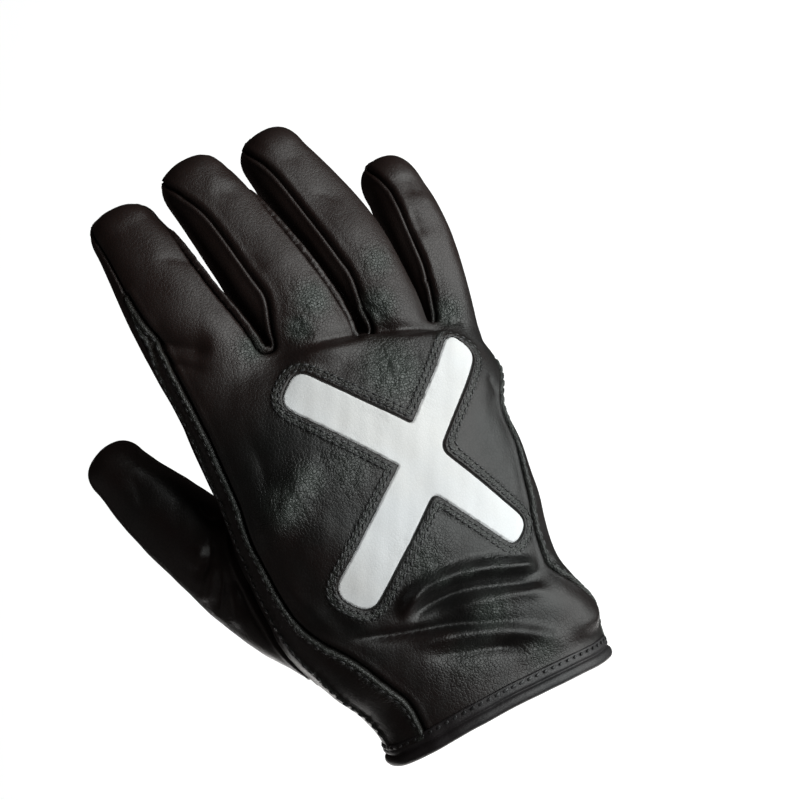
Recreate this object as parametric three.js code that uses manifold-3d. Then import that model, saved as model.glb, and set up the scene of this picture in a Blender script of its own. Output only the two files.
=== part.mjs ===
// A right-hand motorcycle glove of thin leather with a short cuff, filled out as it is when worn. Millimetres.
// The origin is the centre of the wrist opening. +Y runs to the fingertips, +X towards the little finger,
// and +Z out of the back of the hand.
import * as THREE from "three";
import { mergeVertices } from "three/addons/utils/BufferGeometryUtils.js";
import Module from "manifold-3d";

const wasm = await Module();
wasm.setup();

// Driving dimensions
const LEATHER = 1.3; // thickness of every leather wall
const SEAM_GAP = 0.3; // clearance between neighbouring pieces
const HAND_SIDES = 21; // facets around the hand
const FINGER_SIDES = 12; // facets around a finger
const SQUARENESS = 2.35; // exponent of the rounded-rectangle sections, 2 is an ellipse
const FAR = 120; // reach of a cutting region past the leather
const LEAST_HALF = 0.01; // half height of a cutting region where it closes to a line
const WELD = 1e-4; // points nearer to each other than this are one

// The hand from the wrist opening to the roots of the fingers, one row a section.
// left and right are the sides, middle is the height of the widest point, over and under are the heights of the
// back and the palm from there, and slant drops the little finger's side of the section, in mm for each mm across.
// The rows from y 27 to 51 hold the three folds that run across the back of the wrist.
const HAND = [
  { y: 0, left: -41.2, right: 41.3, middle: 0, over: 25.0, under: 25.0, slant: 0 },
  { y: 8, left: -40.7, right: 41.8, middle: 0, over: 25.5, under: 25.0, slant: 0 },
  { y: 18, left: -44.2, right: 43.3, middle: 0, over: 26.5, under: 24.0, slant: 0 },
  { y: 27, left: -49.7, right: 41.3, middle: 0, over: 26.5, under: 23.0, slant: 0 },
  { y: 31, left: -52.2, right: 40.3, middle: -0.5, over: 24.0, under: 22.5, slant: 0.03 },
  { y: 35, left: -54.2, right: 39.6, middle: -0.5, over: 27.5, under: 22.0, slant: 0.05 },
  { y: 38.5, left: -55.7, right: 39.1, middle: -0.5, over: 25.0, under: 22.0, slant: 0.05 },
  { y: 42.5, left: -56.7, right: 39.2, middle: -0.5, over: 28.0, under: 22.0, slant: 0.05 },
  { y: 46, left: -57.5, right: 39.6, middle: 0, over: 25.5, under: 22.0, slant: 0.05 },
  { y: 51, left: -58.2, right: 40.6, middle: 0, over: 28.5, under: 22.5, slant: 0.04 },
  { y: 62, left: -58.7, right: 42.4, middle: 1, over: 28.0, under: 20.5, slant: 0.03 },
  { y: 78, left: -59.2, right: 43.4, middle: 3, over: 26.5, under: 17.5, slant: 0.05 },
  { y: 94, left: -58.7, right: 42.8, middle: 5, over: 25.0, under: 14.5, slant: 0.1 },
  { y: 107, left: -58.7, right: 46.6, middle: 6.5, over: 23.0, under: 12.5, slant: 0.15 },
  { y: 119, left: -58.2, right: 46.2, middle: 7.5, over: 19.5, under: 12.0, slant: 0.2 },
  { y: 132, left: -55.7, right: 44.3, middle: 8, over: 10.5, under: 8.0, slant: 0.25 },
];

// The fingers and the thumb, one row a section from root to tip. wide and thick are half sizes, and the last row
// is the tip. roll turns the finger about its own length, towards the little finger's side where it is positive.
const DIGITS = {
  index: {
    roll: -4,
    rows: [
      { x: -40.2, y: 112, z: 8.0, wide: 17.0, thick: 14.5 },
      { x: -41.7, y: 141, z: 8.0, wide: 17.9, thick: 13.5 },
      { x: -44.8, y: 161, z: 7.8, wide: 16.1, thick: 12.0 },
      { x: -47.0, y: 178, z: 6.2, wide: 13.7, thick: 10.7 },
      { x: -48.9, y: 190.5, z: 4.0, wide: 11.2, thick: 9.5 },
      { x: -49.5, y: 200.5, z: 3.0 },
    ],
  },
  middle: {
    roll: 1,
    rows: [
      { x: -9.2, y: 112, z: 11.0, wide: 15.0, thick: 14.5 },
      { x: -10.4, y: 144, z: 11.0, wide: 15.6, thick: 13.5 },
      { x: -14.4, y: 165, z: 10.8, wide: 15.1, thick: 11.8 },
      { x: -18.6, y: 185, z: 9.0, wide: 12.9, thick: 10.5 },
      { x: -21.5, y: 195.5, z: 8.0, wide: 11.4, thick: 9.8 },
      { x: -23.2, y: 206, z: 7.0 },
    ],
  },
  ring: {
    roll: 16,
    rows: [
      { x: 18.8, y: 104, z: 8.0, wide: 12.5, thick: 13.5 },
      { x: 17.6, y: 138, z: 9.0, wide: 13.5, thick: 13.0 },
      { x: 15.1, y: 161, z: 8.8, wide: 14.7, thick: 11.4 },
      { x: 10.6, y: 182, z: 7.0, wide: 13.3, thick: 10.3 },
      { x: 7.5, y: 195, z: 6.0, wide: 11.2, thick: 9.6 },
      { x: 5.3, y: 206, z: 5.0 },
    ],
  },
  little: {
    roll: 25,
    rows: [
      { x: 32.8, y: 95, z: 3.0, wide: 9.2, thick: 12.6 },
      { x: 36.4, y: 119, z: 3.0, wide: 10.2, thick: 12.0 },
      { x: 40.2, y: 138, z: 2.9, wide: 10.6, thick: 11.0 },
      { x: 43.1, y: 160, z: 1.5, wide: 11.4, thick: 10.0 },
      { x: 43.6, y: 171, z: 0.0, wide: 10.2, thick: 9.2 },
      { x: 42.6, y: 184.5, z: -2.0 },
    ],
  },
  thumb: {
    roll: -40,
    rows: [
      { x: -37.2, y: 43, z: -7.0, wide: 18.0, thick: 14.5 },
      { x: -50.7, y: 64, z: -14.0, wide: 18.0, thick: 14.0 },
      { x: -62.2, y: 87.4, z: -20.5, wide: 15.7, thick: 13.0 },
      { x: -72.8, y: 110.7, z: -24.6, wide: 12.7, thick: 11.0 },
      { x: -77.8, y: 123.5, z: -26.0, wide: 10.2, thick: 9.6 },
      { x: -81.2, y: 132.6, z: -27.0 },
    ],
  },
};
const DOME_STEPS = 2; // extra sections that round each tip
const DOME_FULLNESS = 2.6; // exponent of the tip's profile, higher is blunter
const DOME_FLAT = 0.12; // flat end left on a tip, in steps

// Strips of leather between the fingers, from one finger's side down through the crotch and up the next one's.
// start is the height along the hand where the strip crosses the crotch, and farSeam is the height of the seam on
// the back of the far finger, which shows more of the strip than the near one does.
const STRIPS = [
  { name: "fourchette_index_middle", near: "index", far: "middle", start: 131.5, farSeam: 0.9 },
  { name: "fourchette_middle_ring", near: "middle", far: "ring", start: 127, farSeam: 0.77 },
  { name: "fourchette_ring_little", near: "ring", far: "little", start: 118.5, farSeam: 0.68 },
];
const STRIP_SEAM = 0.73; // height of a strip's other seams over the finger's middle, as a share of half thickness
const SEAMS_MEET = 0.95; // share of the finger's length where its seams meet
const SEAMS_CLOSING = 6; // exponent of their closing, higher keeps the strip wide for longer
const CUT_REACH = 2; // reach of a cut past the finger's side and tip

// The topstitched bands along the two outer sides, one row a section. inner is how far the band's cut reaches into
// the hollow, and low and high are its edges. Past its last row a band is only the seam that runs on to the tip.
const INDEX_BAND = [
  { y: 6.8, inner: -15, low: 2.0, high: 17.8 },
  { y: 20, inner: -18, low: 4.0, high: 19.6 },
  { y: 36, inner: -25.5, low: 5.5, high: 19.0 },
  { y: 53, inner: -30, low: 3.8, high: 14.6 },
  { y: 66, inner: -32, low: 3.8, high: 13.9 },
  { y: 83, inner: -34, low: 6.5, high: 14.2 },
  { y: 97, inner: -36, low: 8.0, high: 16.0 },
  { y: 121, inner: -38.5, low: 10.0, high: 16.5 },
  { y: 158, inner: -42.5, low: 12.2, high: 15.8 },
  { y: 172, inner: -44.8, low: 12.0, high: 13.2 },
];
const LITTLE_BAND = [
  { y: 6.8, inner: 15, low: -2.5, high: 8.0 },
  { y: 34, inner: 15, low: -1.0, high: 17.4 },
  { y: 92, inner: 26, low: -2.0, high: 16.8 },
  { y: 112, inner: 38, low: -2.5, high: 6.0 },
  { y: 135, inner: 41, low: -3.0, high: -1.0 },
];
const OUTER_SEAMS = [
  { name: "index", way: -1, start: 170, upper: 0.6, lower: 0.6, grow: SEAM_GAP / 2 },
  { name: "little", way: 1, start: 133, upper: 0.05, lower: 0.05, grow: SEAM_GAP / 2 },
];

// The white cross on the back of the hand, one row an arm, counter-clockwise from the upper left one.
// x and y are the middle of the arm's rounded end, width is its width there, and cornerX and cornerY are the inner
// corner between this arm and the next.
const CROSS_ARMS = [
  { x: -27.3, y: 123.9, width: 12.6, cornerX: -5.7, cornerY: 86.8 },
  { x: -37.1, y: 53.4, width: 14.2, cornerX: 0.8, cornerY: 74.0 },
  { x: 24.1, y: 49.8, width: 10.7, cornerX: 9.6, cornerY: 85.4 },
  { x: 33.3, y: 113.9, width: 11.3, cornerX: 4.2, cornerY: 97.0 },
];
const CROSS_END_ROUNDING = 0.42; // corner radius of an arm's end, as a share of its width
const CROSS_END_FACETS = 3; // facets of each rounded corner
const INLAY_SUNK = 0.3; // how far the white face lies below the black one
const INLAY_UNDERLAP = 4; // margin of the white leather behind the black one
const INLAY_UNDERLAP_WALL = 1.0; // thickness of that margin

// The bound hem around the wrist opening
const HEM_HEIGHT = 6.5;
const HEM_PROUD = 0.5; // how far the binding stands out of the leather, outside and inside

const BLACK_LEATHER = { color: 0x121211, roughness: 0.42, metalness: 0 };
const WHITE_LEATHER = { color: 0xe4e6e6, roughness: 0.5, metalness: 0 };

// Turns a closed three.js geometry into a solid.
function solid(geometry) {
  geometry.deleteAttribute("normal");
  geometry.deleteAttribute("uv");
  const merged = mergeVertices(geometry, WELD);
  const triVerts = new Uint32Array(merged.index.array);
  const vertProperties = merged.attributes.position.array;
  const made = new wasm.Manifold(new wasm.Mesh({ numProp: 3, vertProperties, triVerts }));
  if (made.volume() > 0) return made;
  triVerts.reverse();
  return new wasm.Manifold(new wasm.Mesh({ numProp: 3, vertProperties, triVerts }));
}

// Stretches a cylinder over a row of rings that hold the same number of points.
function loft(rings) {
  const sides = rings[0].length;
  const last = rings.length - 1;
  const tube = new THREE.CylinderGeometry(1, 1, 1, sides, last);
  const position = tube.getAttribute("position");
  const vertex = new THREE.Vector3();
  for (let i = 0; i < position.count; i++) {
    vertex.fromBufferAttribute(position, i);
    const row = Math.round((0.5 - vertex.y) * last);
    const turn = Math.atan2(vertex.x, vertex.z) / (2 * Math.PI);
    const onAxis = Math.hypot(vertex.x, vertex.z) < 0.5;
    const place = onAxis ? middleOf(rings[row]) : rings[row][Math.round((turn + 1) * sides) % sides];
    position.setXYZ(i, place.x, place.y, place.z);
  }
  return solid(tube);
}

function middleOf(points) {
  const sum = points.reduce((total, point) => total.add(point), new THREE.Vector3());
  return sum.divideScalar(points.length);
}

function signedPower(value, exponent) {
  return Math.sign(value) * Math.abs(value) ** exponent;
}

// One rounded-rectangle ring about a centre, in the plane of the directions side and up.
function ring({ centre, side, up, wide, over, under, count }) {
  const points = [];
  for (let i = 0; i < count; i++) {
    const angle = (i / count) * 2 * Math.PI;
    const across = wide * signedPower(Math.cos(angle), 2 / SQUARENESS);
    const height = (Math.sin(angle) > 0 ? over : under) * signedPower(Math.sin(angle), 2 / SQUARENESS);
    points.push(centre.clone().addScaledVector(side, across).addScaledVector(up, height));
  }
  return points;
}

// The hand as a solid, with every wall moved inwards by depth. wristEnd moves the face at the wrist up the hand.
function handSolid(depth, wristEnd = 0) {
  const rings = HAND.map((row, i) => {
    const across = new THREE.Vector3(1, -row.slant, 0);
    const last = i === HAND.length - 1;
    const y = row.y + (i === 0 ? wristEnd : 0) - (last ? depth : 0);
    const x = (row.left + row.right) / 2;
    const centre = new THREE.Vector3(x, y - row.slant * x, row.middle);
    const wide = (row.right - row.left) / 2 - depth;
    const up = new THREE.Vector3(0, 0, 1);
    const heights = { over: row.over - depth, under: row.under - depth };
    return ring({ centre, side: across, up, wide, ...heights, count: HAND_SIDES });
  });
  return loft(rings);
}

// The sections of a finger or the thumb from its table, with the tip rounded off.
function digitSections({ rows, roll }, depth = 0) {
  const inwards = (row) => ({ ...row, wide: row.wide - depth, thick: row.thick - depth });
  const sections = rows.slice(0, -1).map(inwards);
  const root = sections[sections.length - 1];
  const tip = rows[rows.length - 1];
  const reach = new THREE.Vector3(tip.x - root.x, tip.y - root.y, tip.z - root.z);
  reach.setLength(reach.length() - depth);
  for (let step = 1; step <= DOME_STEPS; step++) {
    const share = step / (DOME_STEPS + DOME_FLAT);
    const size = Math.sqrt(1 - share ** DOME_FULLNESS);
    sections.push({
      x: root.x + reach.x * share,
      y: root.y + reach.y * share,
      z: root.z + reach.z * share,
      wide: root.wide * size,
      thick: root.thick * size,
    });
  }
  const places = sections.map((section) => new THREE.Vector3(section.x, section.y, section.z));
  return sections.map((section, i) => {
    const [last, next] = [places[Math.max(i - 1, 0)], places[Math.min(i + 1, places.length - 1)]];
    const along = next.clone().sub(last).normalize();
    const side = along.clone().cross(new THREE.Vector3(0, 0, 1)).normalize();
    const up = side.clone().cross(along);
    const turn = THREE.MathUtils.degToRad(roll);
    side.applyAxisAngle(along, turn);
    up.applyAxisAngle(along, turn);
    return { centre: places[i], side, up, wide: section.wide, over: section.thick, under: section.thick };
  });
}

function digitSolid(name, depth) {
  return loft(digitSections(DIGITS[name], depth).map((section) => ring({ ...section, count: FINGER_SIDES })));
}

const FINGERS = ["index", "middle", "ring", "little"];

function joined(solids) {
  return solids.reduce((whole, next) => whole.add(next));
}

// The hand and fingers as one form, with every wall moved inwards by depth.
function gloveSolid(depth, wristEnd = 0) {
  return joined([handSolid(depth, wristEnd), ...FINGERS.map((name) => digitSolid(name, depth))]);
}

// The section of a finger at a height y along the hand, from the sections before and after it.
function sectionAt(sections, y) {
  const after = sections.findIndex((section) => section.centre.y > y);
  const [below, above] = [sections[after - 1], sections[after]];
  const share = (y - below.centre.y) / (above.centre.y - below.centre.y);
  const between = (name) => THREE.MathUtils.lerp(below[name], above[name], share);
  const centre = below.centre.clone().lerp(above.centre, share);
  return { ...below, centre, wide: between("wide"), over: between("over") };
}

// The region of one side of a finger between two seams, from its middle line out past the leather.
// way is 1 for the side towards the little finger. upper and lower are the seams' heights as shares of the
// finger's half thickness, and they close on each other near the tip. grow widens the region all round, and a
// grown region runs on as the slit of the seam that is left, over the tip.
function sideRegion({ name, way, start, upper, lower, grow }) {
  const sections = digitSections(DIGITS[name]);
  const tip = sections[sections.length - 1].centre.y;
  const meeting = start + (tip - start) * SEAMS_MEET;
  const inside = sections.filter(({ centre }) => centre.y > start && centre.y < meeting);
  const kept = [sectionAt(sections, start), ...inside, sectionAt(sections, meeting)];
  if (grow > 0) kept.push(...sections.filter(({ centre }) => centre.y > meeting));
  const waist = grow + LEAST_HALF;
  const rings = kept.map((section, i) => {
    const centre = section.centre.clone();
    const reached = (centre.y - start) / (meeting - start);
    const opening = section.over * Math.max(0, 1 - reached ** SEAMS_CLOSING);
    if (i === 0) centre.y -= grow;
    if (centre.y === tip) centre.y += CUT_REACH;
    const across = (seam) => section.wide * (1 - Math.abs(seam) ** SQUARENESS) ** (1 / SQUARENESS);
    const out = section.wide + CUT_REACH + grow;
    const at = (outwards, height) =>
      centre.clone().addScaledVector(section.side, way * outwards).addScaledVector(section.up, height);
    const top = upper * opening + waist;
    const bottom = lower * opening - waist;
    const above = [at(-grow, waist), at(across(upper), top), at(out, top)];
    const below = [at(out, bottom), at(across(lower), bottom), at(-grow, -waist)];
    return [...above, ...below];
  });
  return loft(rings);
}

// The region of a band along an outer side, from its table. way is 1 for the little finger's side.
function bandRegion(rows, way, grow) {
  const rings = rows.map((row) => {
    const y = row === rows.at(-1) ? row.y + grow : row.y;
    const corner = (x, z) => new THREE.Vector3(x, y, z);
    const out = way * FAR;
    const low = row.low - grow - LEAST_HALF;
    const high = row.high + grow + LEAST_HALF;
    return [corner(row.inner, high), corner(out, high), corner(out, low), corner(row.inner, low)];
  });
  return loft(rings);
}

// A region that holds everything between two heights along the hand.
function slice(from, to) {
  return solid(new THREE.BoxGeometry(2 * FAR, to - from, 2 * FAR).translate(0, (from + to) / 2, 0));
}

// The outline of the white cross, moved outwards by grow.
function crossShape(grow) {
  const centre = new THREE.Vector2();
  CROSS_ARMS.forEach((arm) => centre.add(new THREE.Vector2(arm.cornerX, arm.cornerY).divideScalar(4)));
  const shape = new THREE.Shape();
  CROSS_ARMS.forEach((arm, i) => {
    const end = new THREE.Vector2(arm.x, arm.y);
    const along = end.clone().sub(centre).normalize();
    const left = new THREE.Vector2(-along.y, along.x);
    const half = arm.width / 2 + grow;
    const round = arm.width * CROSS_END_ROUNDING + grow;
    const at = (forward, sideways) => end.clone().addScaledVector(along, forward).addScaledVector(left, sideways);
    const starts = [at(grow - round, -half), at(grow, -half), at(grow, -half + round)];
    const ends = [at(grow, half - round), at(grow, half), at(grow - round, half)];
    const corner = new THREE.Vector2(arm.cornerX, arm.cornerY);
    corner.addScaledVector(corner.clone().sub(centre).normalize(), grow * Math.SQRT2);
    if (i === 0) shape.moveTo(starts[0].x, starts[0].y);
    else shape.lineTo(starts[0].x, starts[0].y);
    shape.quadraticCurveTo(starts[1].x, starts[1].y, starts[2].x, starts[2].y);
    shape.lineTo(ends[0].x, ends[0].y);
    shape.quadraticCurveTo(ends[1].x, ends[1].y, ends[2].x, ends[2].y);
    shape.lineTo(corner.x, corner.y);
  });
  return shape;
}

function crossRegion(grow) {
  const settings = { depth: FAR, bevelEnabled: false, curveSegments: CROSS_END_FACETS };
  return solid(new THREE.ExtrudeGeometry(crossShape(grow), settings));
}

// The largest separate bodies of a solid, largest first.
function bodiesOf(whole, count) {
  return whole
    .decompose()
    .sort((a, b) => b.volume() - a.volume())
    .slice(0, count);
}

// The walls of the hand and fingers above the hem, open into the thumb
const outer = gloveSolid(0);
const hollow = joined([gloveSolid(LEATHER, -1), digitSolid("thumb", LEATHER)]);
const walls = outer.subtract(hollow).subtract(slice(-FAR, HEM_HEIGHT + SEAM_GAP));

// Each finger strip and band is a stretch of the walls, and the panels are what is left between them.
const stripRegion = ({ near, far, start, farSeam }, grow) => {
  const seams = { start, upper: STRIP_SEAM, lower: -STRIP_SEAM, grow };
  const farSide = sideRegion({ name: far, way: -1, ...seams, upper: farSeam });
  return sideRegion({ name: near, way: 1, ...seams }).add(farSide);
};
const regions = [
  ...STRIPS.map((strip) => ({ name: strip.name, at: (grow) => stripRegion(strip, grow) })),
  { name: "index_side_band", at: (grow) => bandRegion(INDEX_BAND, -1, grow) },
  { name: "little_side_band", at: (grow) => bandRegion(LITTLE_BAND, 1, grow) },
];
const cuts = joined([...regions.map((region) => region.at(SEAM_GAP)), ...OUTER_SEAMS.map(sideRegion)]);
const [panelA, panelB] = bodiesOf(walls.subtract(cuts), 2);
const heightOf = (piece) => piece.boundingBox().max[2];
const [back, palm] = heightOf(panelA) > heightOf(panelB) ? [panelA, panelB] : [panelB, panelA];

// The white cross fills the cut-out of the back panel and laps under its edge all round.
const face = handSolid(INLAY_SUNK).subtract(handSolid(LEATHER + SEAM_GAP + INLAY_UNDERLAP_WALL));
const lap = handSolid(LEATHER + SEAM_GAP).subtract(handSolid(LEATHER + SEAM_GAP + INLAY_UNDERLAP_WALL));
const inlay = face.intersect(crossRegion(-SEAM_GAP)).add(lap.intersect(crossRegion(INLAY_UNDERLAP)));

// The thumb is a tube that ends against the outside of the hand.
const thumb = digitSolid("thumb", 0)
  .subtract(digitSolid("thumb", LEATHER))
  .subtract(gloveSolid(-SEAM_GAP));

// The binding wraps over the raw edge of the wrist opening.
const hem = handSolid(-HEM_PROUD)
  .subtract(handSolid(LEATHER + HEM_PROUD, -1))
  .intersect(slice(-1, HEM_HEIGHT));

const glove = new THREE.Group();

function addPiece(name, piece, finish) {
  const mesh = piece.getMesh();
  const geometry = new THREE.BufferGeometry();
  geometry.setAttribute("position", new THREE.BufferAttribute(mesh.vertProperties, 3));
  geometry.setIndex(new THREE.BufferAttribute(mesh.triVerts, 1));
  geometry.computeVertexNormals();
  const made = new THREE.Mesh(geometry, new THREE.MeshStandardMaterial(finish));
  made.name = name;
  glove.add(made);
}

addPiece("back_panel", bodiesOf(back.subtract(crossRegion(0)), 1)[0], BLACK_LEATHER);
addPiece("palm_panel", palm, BLACK_LEATHER);
regions.forEach(({ name, at }) => addPiece(name, bodiesOf(walls.intersect(at(0)), 1)[0], BLACK_LEATHER));
addPiece("thumb", bodiesOf(thumb, 1)[0], BLACK_LEATHER);
addPiece("cross_inlay", bodiesOf(inlay, 1)[0], WHITE_LEATHER);
addPiece("cuff_binding", hem, BLACK_LEATHER);

export default glove;
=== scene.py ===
"""A right-hand motorcycle glove of smooth black leather with a white inlaid saltire, in metres.

The glove is shaped as one fine skin over the sections of the hand and the fingers. The skin is cut along its
seams into the panels that it is sewn from, and the folds are worked into it as moves of its vertices. Each
panel then gets its leather wall, its turned edges and its stitches.
"""

from __future__ import annotations

import logging
import math
from dataclasses import dataclass
from enum import Enum
from typing import Callable, Sequence

import bmesh
import bpy
import numpy as np
from mathutils import Matrix, Vector
from mathutils.bvhtree import BVHTree

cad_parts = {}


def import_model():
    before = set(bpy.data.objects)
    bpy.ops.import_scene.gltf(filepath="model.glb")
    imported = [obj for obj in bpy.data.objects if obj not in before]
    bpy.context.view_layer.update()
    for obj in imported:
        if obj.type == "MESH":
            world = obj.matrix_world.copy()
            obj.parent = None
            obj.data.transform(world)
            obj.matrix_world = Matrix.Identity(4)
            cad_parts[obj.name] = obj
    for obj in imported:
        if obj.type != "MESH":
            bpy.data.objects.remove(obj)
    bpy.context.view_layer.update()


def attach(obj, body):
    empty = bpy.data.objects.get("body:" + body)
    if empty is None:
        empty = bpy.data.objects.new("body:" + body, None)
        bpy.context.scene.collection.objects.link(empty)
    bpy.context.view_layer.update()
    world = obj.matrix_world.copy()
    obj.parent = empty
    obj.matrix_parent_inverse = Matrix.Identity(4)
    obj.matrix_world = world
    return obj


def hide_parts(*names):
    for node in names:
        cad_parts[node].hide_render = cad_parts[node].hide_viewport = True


log = logging.getLogger("glove")

MM = 0.001
LEATHER = 1.3 * MM
BODY = "root"


def smoothstep(values: np.ndarray, low: float, high: float) -> np.ndarray:
    """Rises smoothly from 0 at low to 1 at high.

    Args:
        values: numbers to grade.
        low: value that gives 0.
        high: value that gives 1.

    Returns:
        The graded numbers.
    """
    share = np.clip((values - low) / (high - low), 0.0, 1.0)
    return share * share * (3.0 - 2.0 * share)


def smooth_min(first: np.ndarray, second: np.ndarray, radius: float) -> np.ndarray:
    """The smaller of two fields, with the corner between them rounded.

    Args:
        first: one field.
        second: the other field.
        radius: how far from the corner the rounding reaches.

    Returns:
        The rounded minimum.
    """
    share = np.clip(0.5 + 0.5 * (second - first) / radius, 0.0, 1.0)
    return second + (first - second) * share - radius * share * (1.0 - share)


def signed_power(values: np.ndarray, exponent: float) -> np.ndarray:
    """Raises the size of each number to a power and keeps its sign."""
    return np.sign(values) * np.abs(values) ** exponent


def spline(rows: np.ndarray, places: np.ndarray) -> np.ndarray:
    """A smooth curve through rows of numbers.

    Args:
        rows: one row a knot.
        places: where to read the curve, with knot i at place i.

    Returns:
        One row for each place.
    """
    padded = np.vstack([2 * rows[0] - rows[1], rows, 2 * rows[-1] - rows[-2]])
    knot = np.clip(np.floor(places).astype(int), 0, len(rows) - 2)
    t = (places - knot)[:, None]
    p0, p1, p2, p3 = (padded[knot + i] for i in range(4))
    straight = 2 * p1 + (p2 - p0) * t
    bent = (2 * p0 - 5 * p1 + 4 * p2 - p3) * t**2
    return 0.5 * (straight + bent + (3 * p1 - p0 - 3 * p2 + p3) * t**3)


@dataclass(frozen=True)
class PhotoView:
    """The camera of the photograph, and the rays through its pixels."""

    target: tuple[float, float, float] = (13.36 * MM, 106.13 * MM, 0.0)
    distance: float = 560 * MM
    from_left: float = math.radians(18.0)
    from_wrist: float = math.radians(1.5)
    roll: float = math.radians(25.0)
    lens: float = 75.0
    sensor: float = 36.0
    pixels: float = 800.0

    def axes(self) -> tuple[Vector, Vector, Vector]:
        """Works out how the camera is turned.

        Returns:
            Its right, up and backward directions.
        """
        back = Vector((-math.tan(self.from_left), -math.tan(self.from_wrist), 1.0)).normalized()
        along = Vector((0, 1, 0))
        level_up = (along - along.dot(back) * back).normalized()
        level_right = level_up.cross(back)
        right = math.cos(self.roll) * level_right - math.sin(self.roll) * level_up
        up = math.sin(self.roll) * level_right + math.cos(self.roll) * level_up
        return right, up, back

    def place(self) -> Vector:
        """Where the camera stands."""
        return Vector(self.target) + self.distance * self.axes()[2]

    def ray(self, x: float, y: float) -> Vector:
        """The direction through a pixel of the photograph.

        Args:
            x: pixels from its left edge.
            y: pixels from its top edge.

        Returns:
            A unit vector away from the camera.
        """
        right, up, back = self.axes()
        focal = self.lens / self.sensor * self.pixels
        middle = self.pixels / 2
        return ((x - middle) / focal * right - (y - middle) / focal * up - back).normalized()

    def make_camera(self) -> bpy.types.Object:
        """Builds the camera and makes it the scene's own.

        Returns:
            The camera object.
        """
        data = bpy.data.cameras.new("photo_camera")
        data.lens = self.lens
        data.sensor_width = self.sensor
        data.clip_start = 0.01
        data.clip_end = 20.0
        camera = bpy.data.objects.new("photo_camera", data)
        right, up, back = self.axes()
        turned = Matrix((right, up, back)).transposed().to_4x4()
        camera.matrix_world = Matrix.Translation(self.place()) @ turned
        bpy.context.scene.collection.objects.link(camera)
        bpy.context.scene.camera = camera
        return camera


def add_tube(bm: bmesh.types.BMesh, rings: Sequence[np.ndarray], closed_on_itself: bool = False) -> None:
    """Adds a closed tube to a bmesh.

    Args:
        bm: the bmesh that takes its faces.
        rings: arrays of points, all of one length.
        closed_on_itself: joins the last ring to the first one instead of capping both.
    """
    loops = []
    for points in rings:
        circle = bmesh.ops.create_circle(bm, cap_ends=False, segments=len(points), radius=1.0)
        for vert, point in zip(circle["verts"], points):
            vert.co = point
        loops.append(list({edge for vert in circle["verts"] for edge in vert.link_edges}))
    pairs = list(zip(loops, loops[1:]))
    if closed_on_itself:
        pairs.append((loops[-1], loops[0]))
    for near, far in pairs:
        bmesh.ops.bridge_loops(bm, edges=near + far)
    if not closed_on_itself:
        for loop in (loops[0], loops[-1]):
            bmesh.ops.contextual_create(bm, geom=loop)


SQUARENESS = 2.35


def rounded_ring(
    centre: np.ndarray, side: np.ndarray, up: np.ndarray, sizes: Sequence[float], count: int
) -> np.ndarray:
    """A rounded-rectangle ring.

    Args:
        centre: its middle.
        side: direction across.
        up: direction upwards.
        sizes: half width, height over the middle and height under it.
        count: number of points.

    Returns:
        The ring's points.
    """
    wide, over, under = sizes
    angle = np.linspace(0.0, 2 * math.pi, count, endpoint=False)
    across = wide * signed_power(np.cos(angle), 2 / SQUARENESS)
    height = np.where(np.sin(angle) > 0, over, under) * signed_power(np.sin(angle), 2 / SQUARENESS)
    return centre + across[:, None] * side + height[:, None] * up


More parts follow.
